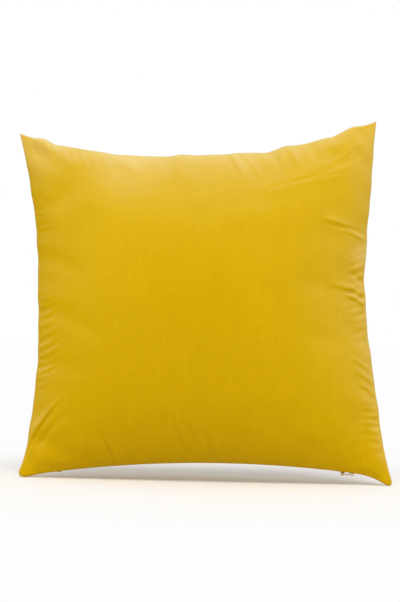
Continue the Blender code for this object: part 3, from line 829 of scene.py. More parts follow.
def make_tape(name, side):
    """One woven tape of the zip, ribbed along its length."""
    along = np.linspace(-ZIP_HALF - TAPE_OVERHANG, ZIP_HALF + TAPE_OVERHANG, TAPE_STATIONS)
    depth = np.linspace(TAPE_BOTTOM, TAPE_BOTTOM + TAPE_WIDTH, TAPE_RIBS * 4 + 1)
    rib = TAPE_RIB_HEIGHT * np.cos((depth - TAPE_BOTTOM) / TAPE_WIDTH * TAPE_RIBS * 2 * np.pi)
    inside = TAPE_MIDDLE - TAPE_THICKNESS / 2 + rib
    outside = TAPE_MIDDLE + TAPE_THICKNESS / 2 - rib
    across = side * np.concatenate((inside, outside[::-1]))
    around = np.concatenate((depth, depth[::-1]))
    points = seam_point(along[:, None], across[None, :], around[None, :])
    tape = tube_grid(name, points)
    lay_cloth_coordinates(tape)
    tape.data.shade_smooth()
    return tape


LABEL_RING = [(share, 1) for share in (-1, -0.5, 0, 0.5, 1)] + [(share, 0) for share in (1, 0.5, 0, -0.5, -1)]


def make_label(name, cloth, place, under):
    """A blank satin label under a side of the cover, folded once, its two cut ends at the top."""
    turns = np.linspace(-np.pi / 2, -3 * np.pi / 2, 9)
    half = LABEL_HEIGHT / 2
    rows = np.linspace(half, -half + LABEL_FOLD, 24)
    front = np.stack((rows, 0 * rows + LABEL_HALF_GAP), -1)
    rounding = LABEL_FOLD - LABEL_HALF_GAP * np.abs(np.cos(turns))
    fold = np.stack((-half + rounding, -LABEL_HALF_GAP * np.sin(turns)), -1)
    back = np.stack((rows[::-1], 0 * rows - LABEL_HALF_GAP), -1)
    line = np.concatenate((front, fold[1:-1], back))
    way = np.gradient(line, axis=0)
    way /= np.linalg.norm(way, axis=1, keepdims=True)
    square = np.stack((-way[:, 1], way[:, 0]), -1)
    near, far = line + square * LABEL_PLY / 2, line - square * LABEL_PLY / 2
    rings = []
    for share, of_ply in LABEL_RING:
        of_line = near if of_ply else far
        rings.append(under_cloth(cloth, place, share * LABEL_WIDTH / 2, of_line[:, 0], under - of_line[:, 1]))
    label = tube_grid(name, np.stack(rings, 1))
    lay_cloth_coordinates(label)
    return label


def under_cloth(cloth, place, aside, along, depth):
    """Points this far aside and along from a place on the panel, and this deep under its plain form."""
    u = place[0] + aside / HALF_WIDTH * LABEL_FORESHORTENED + 0 * along
    v = place[1] + along / HALF_HEIGHT
    step = 0.004

    def at(u, v):
        flat = planform(u, v)
        height = cover_height(u, v, 0 * u)
        return raised(flat, cloth.side * height)

    across = at(u + step, v) - at(u - step, v)
    upwards = at(u, v + step) - at(u, v - step)
    outward = np.cross(across, upwards)
    outward /= np.linalg.norm(outward, axis=-1, keepdims=True)
    outward *= np.sign(outward[..., 1:2]) * cloth.side
    return at(u, v) - outward * depth[..., None]


# Nodes


def connect(tree, socket, value):
    """Link a node's input to another node's output, or set it."""
    if isinstance(value, bpy.types.NodeSocket):
        tree.links.new(value, socket)
    else:
        socket.default_value = value


def feed(tree, node, **values):
    """Link or set a node's inputs, where a name's _ stands for a space; returns the node."""
    for label, value in values.items():
        connect(tree, node.inputs[label.replace("_", " ")], value)
    return node


def add(tree, kind, **values):
    """A new node with its inputs linked or set."""
    return feed(tree, tree.nodes.new(kind), **values)


def passed(tree, kind, geometry, **values):
    """A new node with geometry in its first input; returns its first output."""
    node = add(tree, kind, **values)
    tree.links.new(geometry, node.inputs[0])
    return node.outputs[0]


def maths(tree, operation, *values, kind="ShaderNodeMath"):
    """A node that works on its inputs in their order, each linked or set; returns its output."""
    node = tree.nodes.new(kind)
    node.operation = operation
    for socket, value in zip(node.inputs, values):
        connect(tree, socket, value)
    return node.outputs[0]


# What repeats: sewing threads and coils, as Geometry Nodes

THREAD_CORNERS = 5
STITCH_SEGMENTS = 6
STITCH_RINGS = 5
OVERCAST_STEPS = 4
OVERCAST_SMOOTHING = 3
COIL_STEPS = 8
COIL_SMOOTHING = 1


def new_tree(name, sizes):
    """A Geometry Nodes tree with named sizes; returns the tree, what it is given and its output."""
    tree = bpy.data.node_groups.new(name, "GeometryNodeTree")
    for way in ("INPUT", "OUTPUT"):
        tree.interface.new_socket("Geometry", in_out=way, socket_type="NodeSocketGeometry")
    for size, value in sizes.items():
        socket = tree.interface.new_socket(size, in_out="INPUT", socket_type="NodeSocketFloat")
        socket.default_value = value
    tree.interface.new_socket("Finish", in_out="INPUT", socket_type="NodeSocketMaterial")
    return tree, tree.nodes.new("NodeGroupInput").outputs, tree.nodes.new("NodeGroupOutput")


def end_tree(tree, given, end, geometry):
    """Realize, shade and finish what the tree made."""
    real = passed(tree, "GeometryNodeRealizeInstances", geometry)
    smooth = passed(tree, "GeometryNodeSetShadeSmooth", real)
    finish = passed(tree, "GeometryNodeSetMaterial", smooth, Material=given["Finish"])
    feed(tree, end, Geometry=finish)
    return tree


def steps_along(tree, curve, length):
    """Points at equal steps along a curve."""
    steps = tree.nodes.new("GeometryNodeResampleCurve")
    steps.mode = "LENGTH"
    return feed(tree, steps, Curve=curve, Length=length).outputs[0]


def thread_round(tree, curve, radius, smoothing):
    """Run a round thread along a curve."""
    kind = tree.nodes.new("GeometryNodeCurveSplineType")
    kind.spline_type = "CATMULL_ROM"
    tree.links.new(curve, kind.inputs[0])
    smooth = passed(tree, "GeometryNodeSetSplineResolution", kind.outputs[0], Resolution=smoothing)
    profile = add(tree, "GeometryNodeCurvePrimitiveCircle", Resolution=THREAD_CORNERS, Radius=radius)
    return passed(tree, "GeometryNodeCurveToMesh", smooth, Profile_Curve=profile.outputs[0], Fill_Caps=True)


def wound_tree(name, sizes, winding, steps_in_turn, smoothing):
    """A tree that winds a thread about a route. winding gives the two offsets for a step's angle."""
    tree, given, end = new_tree(name, sizes)
    steps = steps_along(tree, given["Geometry"], maths(tree, "DIVIDE", given["Pitch"], float(steps_in_turn)))
    number = tree.nodes.new("GeometryNodeInputIndex").outputs[0]
    angle = maths(tree, "MULTIPLY", number, 2 * math.pi / steps_in_turn)
    across, inwards = winding(tree, given, angle)
    tangent = tree.nodes.new("GeometryNodeInputTangent").outputs[0]
    square = maths(tree, "CROSS_PRODUCT", tangent, (0, 1, 0), kind="ShaderNodeVectorMath")
    depth = tree.nodes.new("ShaderNodeVectorMath")
    depth.operation = "SCALE"
    feed(tree, depth, Vector=square, Scale=inwards)
    sideways = add(tree, "ShaderNodeCombineXYZ", Y=across).outputs[0]
    offset = maths(tree, "ADD", sideways, depth.outputs[0], kind="ShaderNodeVectorMath")
    place = add(tree, "GeometryNodeSetPosition", Geometry=steps, Offset=offset).outputs[0]
    return end_tree(tree, given, end, thread_round(tree, place, given["Thread radius"], smoothing))


def overcast_winding(tree, given, angle):
    """Over the raw edge and through the cloth, once on each face."""
    cosine = maths(tree, "COSINE", angle)
    through = maths(tree, "MULTIPLY", cosine, cosine)
    across = maths(tree, "MULTIPLY", cosine, given["Half thickness"])
    return across, maths(tree, "MULTIPLY", through, given["Bite"])


def coil_winding(tree, given, angle):
    """Round and round in an oval."""
    across = maths(tree, "MULTIPLY", maths(tree, "COSINE", angle), given["Half width"])
    return across, maths(tree, "MULTIPLY", maths(tree, "SINE", angle), given["Half height"])


def running_tree():
    """A tree that lays one short stitch after another along a route."""
    sizes = {"Pitch": 0.003, "Stitch length": 0.0024, "Thread radius": 0.0002}
    tree, given, end = new_tree("running stitch", sizes)
    steps = steps_along(tree, given["Geometry"], given["Pitch"])
    stitch = add(tree, "GeometryNodeMeshUVSphere", Segments=STITCH_SEGMENTS, Rings=STITCH_RINGS, Radius=1.0)
    half = maths(tree, "MULTIPLY", given["Stitch length"], 0.5)
    thick = given["Thread radius"]
    size = add(tree, "ShaderNodeCombineXYZ", X=half, Y=thick, Z=thick).outputs[0]
    turn = tree.nodes.new("FunctionNodeAlignRotationToVector")
    turn.axis = "X"
    feed(tree, turn, Vector=tree.nodes.new("GeometryNodeInputTangent").outputs[0])
    laid = add(tree, "GeometryNodeInstanceOnPoints", Points=steps, Instance=stitch.outputs["Mesh"],
               Rotation=turn.outputs[0], Scale=size)
    return end_tree(tree, given, end, laid.outputs[0])


def along_route(name, points, tree, material, **sizes):
    """Run a tree along a route and return what it makes as a plain mesh object."""
    curve = bpy.data.curves.new(name + "_route", "CURVE")
    curve.dimensions = "3D"
    spline = curve.splines.new("POLY")
    spline.points.add(len(points) - 1)
    for target, place in zip(spline.points, points):
        target.co = (*place, 1.0)
    route = new_piece(name + "_route", curve)
    made = route.modifiers.new(tree.name, "NODES")
    made.node_group = tree
    values = {size.replace("_", " "): value for size, value in sizes.items()}
    values["Finish"] = material
    for item in tree.interface.items_tree:
        if item.in_out == "INPUT" and item.name in values:
            made[item.identifier] = values[item.name]
    evaluated = route.evaluated_get(bpy.context.evaluated_depsgraph_get())
    mesh = bpy.data.meshes.new_from_object(evaluated)
    mesh.name = name
    bpy.data.objects.remove(route)
    return new_piece(name, mesh)


def ring_route(places, inset):
    """A route in the seam plane, this far inside the cover's seam, through (u, v) places."""
    u, v = np.array(places).T
    return raised(inset_planform(u, v, inset), 0 * u)


def arc_route(start, end, across, depth):
    """A route along the zip's arc."""
    return seam_point(np.linspace(start, end, ROUTE_POINTS), across, depth)


# Materials

VELVET_SHADES = ((0.33, (0.580, 0.341, 0.0004)), (0.67, (0.715, 0.439, 0.0010)))
# Painted shade of the velvet: a darker colour mixed in on faces turned down.
VELVET_PAINTED_SHADE = (0.40, 0.235, 0.001)
# Painted sheen and highlight of the velvet: a pale colour mixed in on faces turned up or towards the rims.
VELVET_PAINTED_SHEEN = (0.80, 0.60, 0.21)
NYLON_SHADES = ((0.3, (0.44, 0.265, 0.012)), (0.7, (0.56, 0.35, 0.03)))
ENAMEL_SHADES = ((0.3, (0.46, 0.275, 0.010)), (0.7, (0.54, 0.33, 0.018)))
BARE_ZINC = (0.55, 0.52, 0.47)
SATIN_SHADES = ((0.1, (0.74, 0.73, 0.70)), (0.9, (0.89, 0.88, 0.86)))
FIBRE_SHADES = ((0.7, (0.70, 0.70, 0.69)), (1.0, (0.93, 0.93, 0.92)))


def new_material(name):
    """A material with one Principled shader; returns it with its node tree and shader."""
    material = bpy.data.materials.new(name)
    material.use_nodes = True
    return material, material.node_tree, material.node_tree.nodes["Principled BSDF"]


def new_group(name, fineness, outputs):
    """A shader node group given a place and some sizes; returns it, what it is given and its output."""
    group = bpy.data.node_groups.new(name, "ShaderNodeTree")
    group.interface.new_socket("Place", in_out="INPUT", socket_type="NodeSocketVector")
    for label, value in fineness.items():
        socket = group.interface.new_socket(label, in_out="INPUT", socket_type="NodeSocketFloat")
        socket.default_value = value
    for label in outputs:
        group.interface.new_socket(label, in_out="OUTPUT", socket_type="NodeSocketFloat")
    return group, group.nodes.new("NodeGroupInput").outputs, group.nodes.new("NodeGroupOutput")


def use_group(tree, group, **values):
    """Place a node group with its own values; returns its outputs."""
    node = tree.nodes.new("ShaderNodeGroup")
    node.node_tree = group
    return feed(tree, node, **values).outputs


def noise(tree, vector, scale, detail, roughness=0.5):
    """A noise texture; returns its value."""
    node = add(tree, "ShaderNodeTexNoise", Vector=vector, Scale=scale, Detail=detail, Roughness=roughness)
    return node.outputs["Fac"]


def stretched(tree, vector, scale, turn=(0, 0, 0)):
    """Coordinates scaled and turned by a Mapping node."""
    return add(tree, "ShaderNodeMapping", Vector=vector, Scale=scale, Rotation=turn).outputs["Vector"]


def coordinates(tree):
    """A piece's own coordinates, in metres."""
    return tree.nodes.new("ShaderNodeTexCoord").outputs["Object"]


def cloth_coordinates(tree):
    """The cloth's flat coordinates, in metres."""
    node = tree.nodes.new("ShaderNodeUVMap")
    node.uv_map = "cloth"
    return node.outputs["UV"]


def attribute(tree, name):
    """A value kept at a mesh's vertices."""
    node = tree.nodes.new("ShaderNodeAttribute")
    node.attribute_name = name
    return node.outputs["Fac"]


def ramp(tree, value, stops):
    """A colour ramp over (position, colour) stops."""
    node = tree.nodes.new("ShaderNodeValToRGB")
    for band, (position, colour) in zip(node.color_ramp.elements, stops):
        band.position = position
        band.color = (*colour, 1)
    return feed(tree, node, Fac=value).outputs["Color"]


def mixed(tree, factor, a, b):
    """A mix of two colours, each a socket or a plain colour."""
    node = tree.nodes.new("ShaderNodeMix")
    node.data_type = "RGBA"
    a, b = (value if isinstance(value, bpy.types.NodeSocket) else (*value, 1) for value in (a, b))
    return feed(tree, node, Factor=factor, A=a, B=b).outputs["Result"]


def bump(tree, height, distance, strength=1.0):
    """The normal of a surface with this height on it."""
    node = add(tree, "ShaderNodeBump", Height=height, Distance=distance, Strength=strength)
    return node.outputs["Normal"]


def fibre_grain_group():
    """Fine fibres at one scale: a value round 0.5, and slow uneven wear over it."""
    group, given, end = new_group("fibre grain", {"Fineness": 900.0, "Wear size": 8.0}, ("Grain", "Wear"))
    fine = noise(group, given["Place"], given["Fineness"], 3, 0.65)
    feed(group, end, Grain=fine, Wear=noise(group, given["Place"], given["Wear size"], 2))
    return group


def plain_weave_group():
    """Warp over weft: the height of the threads, and which of the two is on top."""
    group, given, end = new_group("plain weave", {"Threads per metre": 1800.0}, ("Height", "Warp"))
    split = group.nodes.new("ShaderNodeSeparateXYZ")
    group.links.new(given["Place"], split.inputs[0])
    turns = maths(group, "MULTIPLY", given["Threads per metre"], math.pi)
    warp, weft = (maths(group, "SINE", maths(group, "MULTIPLY", split.outputs[i], turns)) for i in (0, 1))
    on_top = maths(group, "GREATER_THAN", maths(group, "MULTIPLY", warp, weft), 0.0)
    warp_round, weft_round = (maths(group, "ABSOLUTE", thread) for thread in (warp, weft))
    difference = maths(group, "SUBTRACT", warp_round, weft_round)
    feed(group, end, Height=maths(group, "MULTIPLY_ADD", on_top, difference, weft_round), Warp=on_top)
    return group


def velvet(grain):
    """Mustard velvet: short dense pile with soft brushed streaks and a pale sheen, with painted shade and a
    painted sheen and highlight mixed into its colour.
    """
    material, tree, shader = new_material("mustard velvet")
    place = coordinates(tree)
    fibres = use_group(tree, grain, Place=place, Fineness=850.0, Wear_size=6.0)
    streaks = noise(tree, stretched(tree, place, (1.0, 0.6, 0.14)), 130, 3, 0.5)
    nap = maths(tree, "MULTIPLY_ADD", streaks, 0.35, maths(tree, "MULTIPLY", fibres["Wear"], 0.65))
    crushed = noise(tree, place, 330, 2, 0.6)
    pile = maths(tree, "MULTIPLY_ADD", crushed, 0.22, maths(tree, "MULTIPLY", fibres["Grain"], 0.38))
    shades = ramp(tree, maths(tree, "MULTIPLY_ADD", nap, 0.4, pile), VELVET_SHADES)
    # Painted shade: the darker colour comes in as faces turn down, away from the light above.
    painted_shading = mixed(tree, attribute(tree, "painted_top_light"), VELVET_PAINTED_SHADE, shades)
    # Painted sheen and highlight: the pale colour comes in on faces turned up or towards the rims, at the top
    # corners and in the highlight patches.
    shown = mixed(tree, attribute(tree, "painted_sheen"), painted_shading, VELVET_PAINTED_SHEEN)
    feed(tree, shader, Base_Color=shown, Normal=bump(tree, pile, 0.0006, 0.4), Roughness=0.85,
         Specular_IOR_Level=0.04, Sheen_Weight=0.16, Sheen_Roughness=0.35, Sheen_Tint=(1.0, 0.86, 0.30, 1))
    return material


def sewing_thread(grain, name, dark, light):
    """Spun polyester thread: two plies' shading and a little fuzz."""
    material, tree, shader = new_material(name)
    place = stretched(tree, coordinates(tree), (1, 1, 2.4), (0.6, 0.5, 0.4))
    fibres = use_group(tree, grain, Place=place, Fineness=2600.0, Wear_size=90.0)
    feed(tree, shader, Base_Color=ramp(tree, fibres["Grain"], ((0.32, dark), (0.68, light))),
         Normal=bump(tree, fibres["Grain"], 0.00008, 0.8), Roughness=0.62, Sheen_Weight=0.2)
    return material


def woven_cloth(weave, grain, name, dark, light, threads, roughness, depth):
    """Plain-woven cloth with its threads' shading."""
    material, tree, shader = new_material(name)
    place = cloth_coordinates(tree)
    woven = use_group(tree, weave, Place=place, Threads_per_metre=threads)
    fibres = use_group(tree, grain, Place=place, Fineness=threads, Wear_size=14.0)
    shade = maths(tree, "MULTIPLY_ADD", woven["Height"], 0.55, maths(tree, "MULTIPLY", fibres["Wear"], 0.5))
    uneven = maths(tree, "MULTIPLY_ADD", fibres["Grain"], 0.3, woven["Height"])
    feed(tree, shader, Base_Color=ramp(tree, shade, ((0.25, dark), (0.85, light))),
         Normal=bump(tree, uneven, depth), Roughness=roughness, Sheen_Weight=0.1)
    return material


def satin(weave, grain):
    """Label satin: long shining floats across the ribbon."""
    material, tree, shader = new_material("white label satin")
    place = cloth_coordinates(tree)
    woven = use_group(tree, weave, Place=stretched(tree, place, (1, 0.25, 1)), Threads_per_metre=5200.0)
    fibres = use_group(tree, grain, Place=place, Fineness=1500.0, Wear_size=60.0)
    feed(tree, shader, Base_Color=ramp(tree, woven["Height"], SATIN_SHADES),
         Roughness=maths(tree, "MULTIPLY_ADD", fibres["Wear"], 0.25, 0.22),
         Normal=bump(tree, woven["Height"], 0.00004, 0.7))
    return material


def polyester_fibre(grain):
    """White hollow polyester fibre: clumps of crossing strands."""
    material, tree, shader = new_material("white polyester fibre")
    place = coordinates(tree)
    bent = noise(tree, place, 22, 3, 0.6)
    strands = noise(tree, stretched(tree, place, (1, 1, 0.12), (0.3, 0.9, 0.5)), 900, 2, 0.7)
    crossing = noise(tree, stretched(tree, place, (0.12, 1, 1), (0.7, 0.2, 1.1)), 900, 2, 0.7)
    fibres = use_group(tree, grain, Place=place, Fineness=240.0, Wear_size=30.0)
    matted = maths(tree, "MULTIPLY", maths(tree, "MAXIMUM", strands, crossing), 0.5)
    clumps = maths(tree, "MULTIPLY_ADD", fibres["Wear"], 0.9, matted)
    height = maths(tree, "ADD", clumps, maths(tree, "MULTIPLY", bent, 0.6))
    feed(tree, shader, Base_Color=ramp(tree, height, FIBRE_SHADES), Normal=bump(tree, height, 0.003, 0.9),
         Roughness=1.0, Sheen_Weight=0.4, Sheen_Roughness=0.6)
    return material


def coil_nylon(grain):
    """Dyed nylon of the zip's coils, a little glossy."""
    material, tree, shader = new_material("mustard coil nylon")
    fibres = use_group(tree, grain, Place=coordinates(tree), Fineness=700.0, Wear_size=45.0)
    feed(tree, shader, Base_Color=ramp(tree, fibres["Wear"], NYLON_SHADES),
         Roughness=maths(tree, "MULTIPLY_ADD", fibres["Grain"], 0.2, 0.22), Coat_Weight=0.1)
    return material


def enamelled_metal(grain):
    """Mustard baked enamel on die-cast zinc, rubbed through in specks."""
    material, tree, shader = new_material("mustard enamel")
    fibres = use_group(tree, grain, Place=coordinates(tree), Fineness=1400.0, Wear_size=420.0)
    rubbed = ramp(tree, fibres["Wear"], ((0.66, (0, 0, 0)), (0.72, (1, 1, 1))))
    enamel = ramp(tree, fibres["Grain"], ENAMEL_SHADES)
    feed(tree, shader, Base_Color=mixed(tree, rubbed, enamel, BARE_ZINC), Metallic=rubbed,
         Roughness=maths(tree, "MULTIPLY_ADD", fibres["Grain"], 0.20, 0.42),
         Normal=bump(tree, fibres["Grain"], 0.00003, 0.5))
    return material


# Patches of the front given a painted highlight, a paler velvet colour: middle (x, z), reach, strength
PAINTED_HIGHLIGHT_PATCHES = (
    ((-0.100, 0.376), 0.032, 0.26),
    ((-0.195, 0.392), 0.030, 0.14),
    ((0.043, 0.381), 0.016, 0.12),
    ((0.188, 0.277), 0.013, 0.32),
)
# Painted highlight at the top corners: its strength and reach.
CORNER_PAINTED_HIGHLIGHT = 0.34
CORNER_PAINTED_HIGHLIGHT_REACH = 0.055


def paint_light_and_shade(panel, highlight_patches=()):
    """Mark, 0 to 1, the painted shade on faces turned down and the painted sheen and highlight on faces
    turned up or towards the rims, at the top corners and in a few patches.
    """
    count = len(panel.data.vertices)
    normals, places = np.zeros((2, count * 3))
    panel.data.vertex_normals.foreach_get("vector", normals)
    panel.data.vertices.foreach_get("co", places)
    sideways, forwards, upwards = normals.reshape(-1, 3).T
    x, _, z = places.reshape(-1, 3).T
    # Painted shade: 1 on faces turned up, less on upright faces and least on faces turned down.
    painted_light = 0.88 + 0.36 * upwards
    # Painted sheen and highlight: paler as a face tilts towards the rims, most when it turns up, a little
    # more to the right, then at the top corners and in the patches.
    tilt = np.sqrt(np.clip(1 - forwards**2, 0, 1))
    bent = tilt**2 * (0.18 + 0.92 * upwards + 0.13 * sideways)
    from_corner = np.hypot(HALF_WIDTH - np.abs(x), COVER_HEIGHT - z)
    bent += CORNER_PAINTED_HIGHLIGHT * np.exp(-((from_corner / CORNER_PAINTED_HIGHLIGHT_REACH) ** 2))
    for middle, reach, strength in highlight_patches:
        bent += strength * np.exp(-(((x - middle[0]) ** 2 + (z - middle[1]) ** 2) / reach**2))
    for label, values in (("painted_top_light", painted_light), ("painted_sheen", bent)):
        layer = panel.data.attributes.new(label, "FLOAT", "POINT")
        layer.data.foreach_set("value", np.clip(values, 0, 1).astype(np.float32))


# Studio

FLOOR_RADIUS = 9
FLOOR_COLOUR = (0.95, 0.95, 0.95, 1)
WHITE = (1, 1, 1, 1)
SKY_STRENGTH = 0.62
SUN_TOWARDS = (0.02, -0.74, 1.0)
SUN_SPREAD = math.radians(34)
SUN_STRENGTH = 1.63
CAMERA_PLACE = (-0.0065, -3.0, 0.2162)
CAMERA_TURN = (math.radians(90), math.radians(-1.39), 0)
CAMERA_LENS = 149.5
CAMERA_REACH = 60


def make_floor():
    """A wide pale floor."""
    bpy.ops.mesh.primitive_circle_add(vertices=96, radius=FLOOR_RADIUS, fill_type="NGON", location=(0, 0, 0))
    floor = bpy.context.object
    floor.name = "studio_floor"
    material, tree, shader = new_material("studio floor")
    feed(tree, shader, Base_Color=FLOOR_COLOUR, Roughness=0.9, Specular_IOR_Level=0.0)
    floor.data.materials.append(material)


def make_surroundings():
    """Pale surroundings that light the pillow less than they show behind it."""
    world = bpy.data.worlds.new("studio")
    world.use_nodes = True
    tree = world.node_tree
    glow = feed(tree, tree.nodes["Background"], Color=WHITE, Strength=SKY_STRENGTH)
    backdrop = add(tree, "ShaderNodeBackground", Color=WHITE, Strength=1.0)
    seen = tree.nodes.new("ShaderNodeLightPath").outputs["Is Camera Ray"]
    either = add(tree, "ShaderNodeMixShader", Fac=seen)
    tree.links.new(glow.outputs[0], either.inputs[1])
    tree.links.new(backdrop.outputs[0], either.inputs[2])
    feed(tree, tree.nodes["World Output"], Surface=either.outputs[0])
    bpy.context.scene.world = world


def make_studio():
    """Floor, pale surroundings, soft light from above and the camera."""
    make_floor()
    make_surroundings()
    scene = bpy.context.scene
    scene.view_settings.view_transform = "Standard"
    light = bpy.data.lights.new("overhead softbox", "SUN")
    light.angle = SUN_SPREAD
    light.energy = SUN_STRENGTH
    lamp = new_piece("overhead softbox", light)
    lamp.rotation_euler = Vector(SUN_TOWARDS).to_track_quat("Z", "Y").to_euler()
    camera = bpy.data.cameras.new("camera")
    camera.lens = CAMERA_LENS
    camera.clip_end = CAMERA_REACH
    seat = new_piece("camera", camera)
    seat.location = CAMERA_PLACE
    seat.rotation_euler = Euler(CAMERA_TURN)
    scene.camera = seat


def finished(piece, body, slot, material, *nodes):
    """Give a piece its material, its place on a body and the CAD nodes it stands for."""
    piece.data.materials.clear()
    piece.data.materials.append(material)
    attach(piece, body)
    if nodes:
        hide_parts(*nodes)
    return piece


# Small metal pieces

STOP_ROUNDING = 0.0004
SLIDER_ROUNDING = 0.00022


def rounded_copy(name, node, width):
    """A copy of a CAD node's block with its corners joined and rounded."""
    bm = bmesh.new()
    bm.from_mesh(NODES[node].data)
    bm.transform(NODES[node].matrix_world)
    bmesh.ops.remove_doubles(bm, verts=bm.verts, dist=0.000002)
    bmesh.ops.dissolve_limit(bm, angle_limit=math.radians(4), verts=bm.verts, edges=bm.edges)
    sharp = [edge for edge in bm.edges if edge.calc_face_angle(0) > math.radians(40)]
    bmesh.ops.bevel(bm, geom=sharp, offset=width, segments=3, profile=0.6, affect="EDGES")
    bmesh.ops.recalc_face_normals(bm, faces=bm.faces)
    mesh = bpy.data.meshes.new(name)
    bm.to_mesh(mesh)
    bm.free()
    mesh.shade_smooth()
    return new_piece(name, mesh)


# The pillow, from the outside in

OVERLOCK_END = 0.972
OVERLOCK_INSET = 0.0104
OVERLOCK_BITE = 0.0042
TACK_GAP = 0.0031
TACK_RUN = 0.006
TACK_BITE = 0.0016
HEM_STITCHES = (0.00435, 0.0098)
INSERT_GAP = 0.055
FRONT_RIPPLE = 0.55
BACK_RIPPLE = 0.60


def make_cover(materials):
    """Both velvet panels, as the cloth has settled over the filling."""
    rises = settled_cloth()
    cloths = (Cloth(-1, rises[0], front_folds(), FRONT_RIPPLE), Cloth(1, rises[1], back_folds(), BACK_RIPPLE))
    for label, cloth in zip(("front", "back"), cloths):
        panel = make_cover_panel("velvet_" + label, cloth)
        # Painted shade and painted sheen and highlight go into the velvet's colour, with highlight patches on
        # the front only.
        paint_light_and_shade(panel, PAINTED_HIGHLIGHT_PATCHES if label == "front" else ())
        finished(panel, "pillow", "velvet", materials["velvet"], "cover_" + label + "_panel")
    return cloths


def make_cover_threads(materials, trees):
    """Overlocking along the raw edges of the three sewn seams, and a bar tack at each end of the zip."""
    end = OVERLOCK_END
    sides = {"left": ((-1, -end), (-1, end)), "top": ((-end, 1), (end, 1)), "right": ((1, end), (1, -end))}
    for label, (first, last) in sides.items():
        route = ring_route(np.linspace(first, last, ROUTE_POINTS), OVERLOCK_INSET)
        bite = OVERLOCK_BITE if label == "left" else -OVERLOCK_BITE
        thread = along_route("overlocking_" + label, route, trees["overcast"], materials["thread"],
                             Pitch=0.0026, Bite=bite, Half_thickness=0.00082, Thread_radius=0.00016)
        finished(thread, "pillow", "thread", materials["thread"], "cover_overlock_" + label)
    for label, side in (("left", -1), ("right", 1)):
        start = side * (ZIP_HALF + TACK_GAP)
        route = arc_route(start, start + side * TACK_RUN, 0.0, 0.0007)
        tack = along_route("bar_tack_" + label, route, trees["overcast"], materials["thread"], Pitch=0.0005,
                           Bite=TACK_BITE * -side, Half_thickness=0.00036, Thread_radius=0.00013)
        finished(tack, "pillow", "thread", materials["thread"], "cover_seam_tack_" + label)


def make_metal(materials, name, body, node, width):
    """One enamelled metal piece of the zip."""
    piece = rounded_copy(name, node, width)
    finished(piece, body, "zip_metal", materials["enamel"], node)


def make_zip_halves(materials, trees):
    """Tapes, coils, stops and the stitching that holds the tapes to the hem."""
    for label, side in (("front", -1), ("back", 1)):
        tape = make_tape("zip_tape_" + label, side)
        finished(tape, "pillow", "zip_tape", materials["tape"], "zipper_tape_" + label)
        route = arc_route(-ZIP_HALF, ZIP_HALF, side * COIL_MIDDLE[0], COIL_MIDDLE[1])
        coil = along_route("zip_coil_" + label, route, trees["coil"], materials["nylon"], Pitch=COIL_PITCH,
                           Half_width=COIL_HALF[0], Half_height=COIL_HALF[1], Thread_radius=COIL_WIRE)
        finished(coil, "pillow", "zip_coil", materials["nylon"], "zipper_coil_" + label)
        route = arc_route(-ZIP_HALF, ZIP_HALF, side * HEM_STITCHES[0], HEM_STITCHES[1])
        stitches = along_route("hem_stitching_" + label, route, trees["running"], materials["thread"],
                               Pitch=0.003, Stitch_length=0.0025, Thread_radius=0.00018)
        finished(stitches, "pillow", "thread", materials["thread"], "zipper_stitching_" + label)
        make_metal(materials, "zip_top_stop_" + label, "pillow", "zipper_top_stop_" + label, STOP_ROUNDING)
    make_metal(materials, "zip_bottom_stop", "pillow", "zipper_bottom_stop", STOP_ROUNDING)


def make_slider(materials):
    """The slider and its pull, cast and enamelled."""
    make_metal(materials, "zip_slider", "zipper_slider", "zipper_slider_body", SLIDER_ROUNDING)
    make_metal(materials, "zip_pull", "zipper_pull", "zipper_pull_tab", SLIDER_ROUNDING)


def make_insert_sewing(materials, trees):
    """The overlocked edge of the ticking case, and the gap that was closed by hand."""
    gap = INSERT_GAP / BOTTOM_HALF
    rising, falling = np.linspace(-1, 1, 60)[1:], np.linspace(1, -1, 60)[1:]
    around = [(t, -1) for t in np.linspace(gap, 1, 30)]
    around += [(1, t) for t in rising]
    around += [(t, 1) for t in falling]
    around += [(-1, t) for t in falling]
    around += [(t, -1) for t in np.linspace(-1, -gap, 30)[1:]]
    closed = [(t, -1) for t in np.linspace(-gap * 0.98, gap * 0.98, 30)]
    thread = materials["ticking_thread"]
    seam = along_route("insert_overlocking", ring_route(around, INSERT_INSET - 0.0007), trees["overcast"],
                       thread, Pitch=0.003, Bite=0.0003, Half_thickness=0.00030, Thread_radius=0.00013)
    whip = along_route("insert_whip_stitches", ring_route(closed, INSERT_INSET - 0.0008), trees["overcast"],
                       thread, Pitch=0.005, Bite=0.0004, Half_thickness=0.00036, Thread_radius=0.00016)
    finished(seam, "pillow", "ticking_thread", thread, "insert_seam_thread")
    finished(whip, "pillow", "ticking_thread", thread, "insert_closing_stitch")


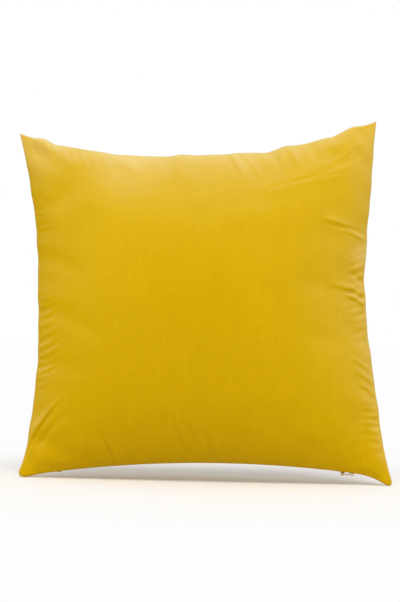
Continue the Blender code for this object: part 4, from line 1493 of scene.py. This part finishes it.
def make_insert(materials, cloths):
    """The ticking case and the fibre inside it."""
    rings = ((0.0006, SEAM_GAP), (0.0022, SEAM_GAP), (0.0022, SEAM_GAP + INSERT_CLOTH / 2))
    for label, cloth in zip(("front", "back"), cloths):
        panel = make_layer("ticking_" + label, cloth.side, INSERT_CELLS, INSERT_INSET, insert_height(cloth),
                           INSERT_CLOTH, rings)
        finished(panel, "pillow", "ticking", materials["ticking"], "insert_" + label + "_panel")
    filling = make_filling("fibre_filling", cloths)
    finished(filling, "pillow", "fibre", materials["fibre"], "insert_fibre_fill")


def make_labels(materials, cloths):
    """The blank care labels of the cover and of the insert."""
    for label, (place, under) in (("cover", COVER_LABEL), ("insert", INSERT_LABEL)):
        piece = make_label("satin_label_" + label, cloths[0], place, under)
        finished(piece, "pillow", "label", materials["satin"], label + "_care_label")


def make_materials():
    """Every finish of the pillow."""
    grain = fibre_grain_group()
    weave = plain_weave_group()
    return {
        "velvet": velvet(grain),
        "thread": sewing_thread(grain, "mustard thread", (0.48, 0.29, 0.010), (0.68, 0.43, 0.03)),
        "ticking_thread": sewing_thread(grain, "white thread", (0.66, 0.65, 0.62), (0.90, 0.89, 0.86)),
        "ticking": woven_cloth(weave, grain, "white ticking", (0.66, 0.65, 0.61), (0.88, 0.87, 0.83),
                               1600.0, 0.85, 0.00012),
        "tape": woven_cloth(weave, grain, "mustard zip tape", (0.42, 0.25, 0.008), (0.60, 0.37, 0.02),
                            2600.0, 0.8, 0.0001),
        "satin": satin(weave, grain),
        "fibre": polyester_fibre(grain),
        "nylon": coil_nylon(grain),
        "enamel": enamelled_metal(grain),
    }


def make_trees():
    """The trees for what repeats."""
    overcast = {"Pitch": 0.0026, "Bite": 0.004, "Half thickness": 0.0008, "Thread radius": 0.0002}
    coil = {"Pitch": 0.0014, "Half width": 0.0007, "Half height": 0.001, "Thread radius": 0.0003}
    return {
        "overcast": wound_tree("overcast stitch", overcast, overcast_winding, OVERCAST_STEPS,
                               OVERCAST_SMOOTHING),
        "coil": wound_tree("zip coil", coil, coil_winding, COIL_STEPS, COIL_SMOOTHING),
        "running": running_tree(),
    }


def main():
    """Build the looks round the CAD frame."""
    make_studio()
    materials = make_materials()
    trees = make_trees()
    cloths = make_cover(materials)
    make_cover_threads(materials, trees)
    make_zip_halves(materials, trees)
    make_insert(materials, cloths)
    make_insert_sewing(materials, trees)
    make_labels(materials, cloths)
    make_slider(materials)


main()
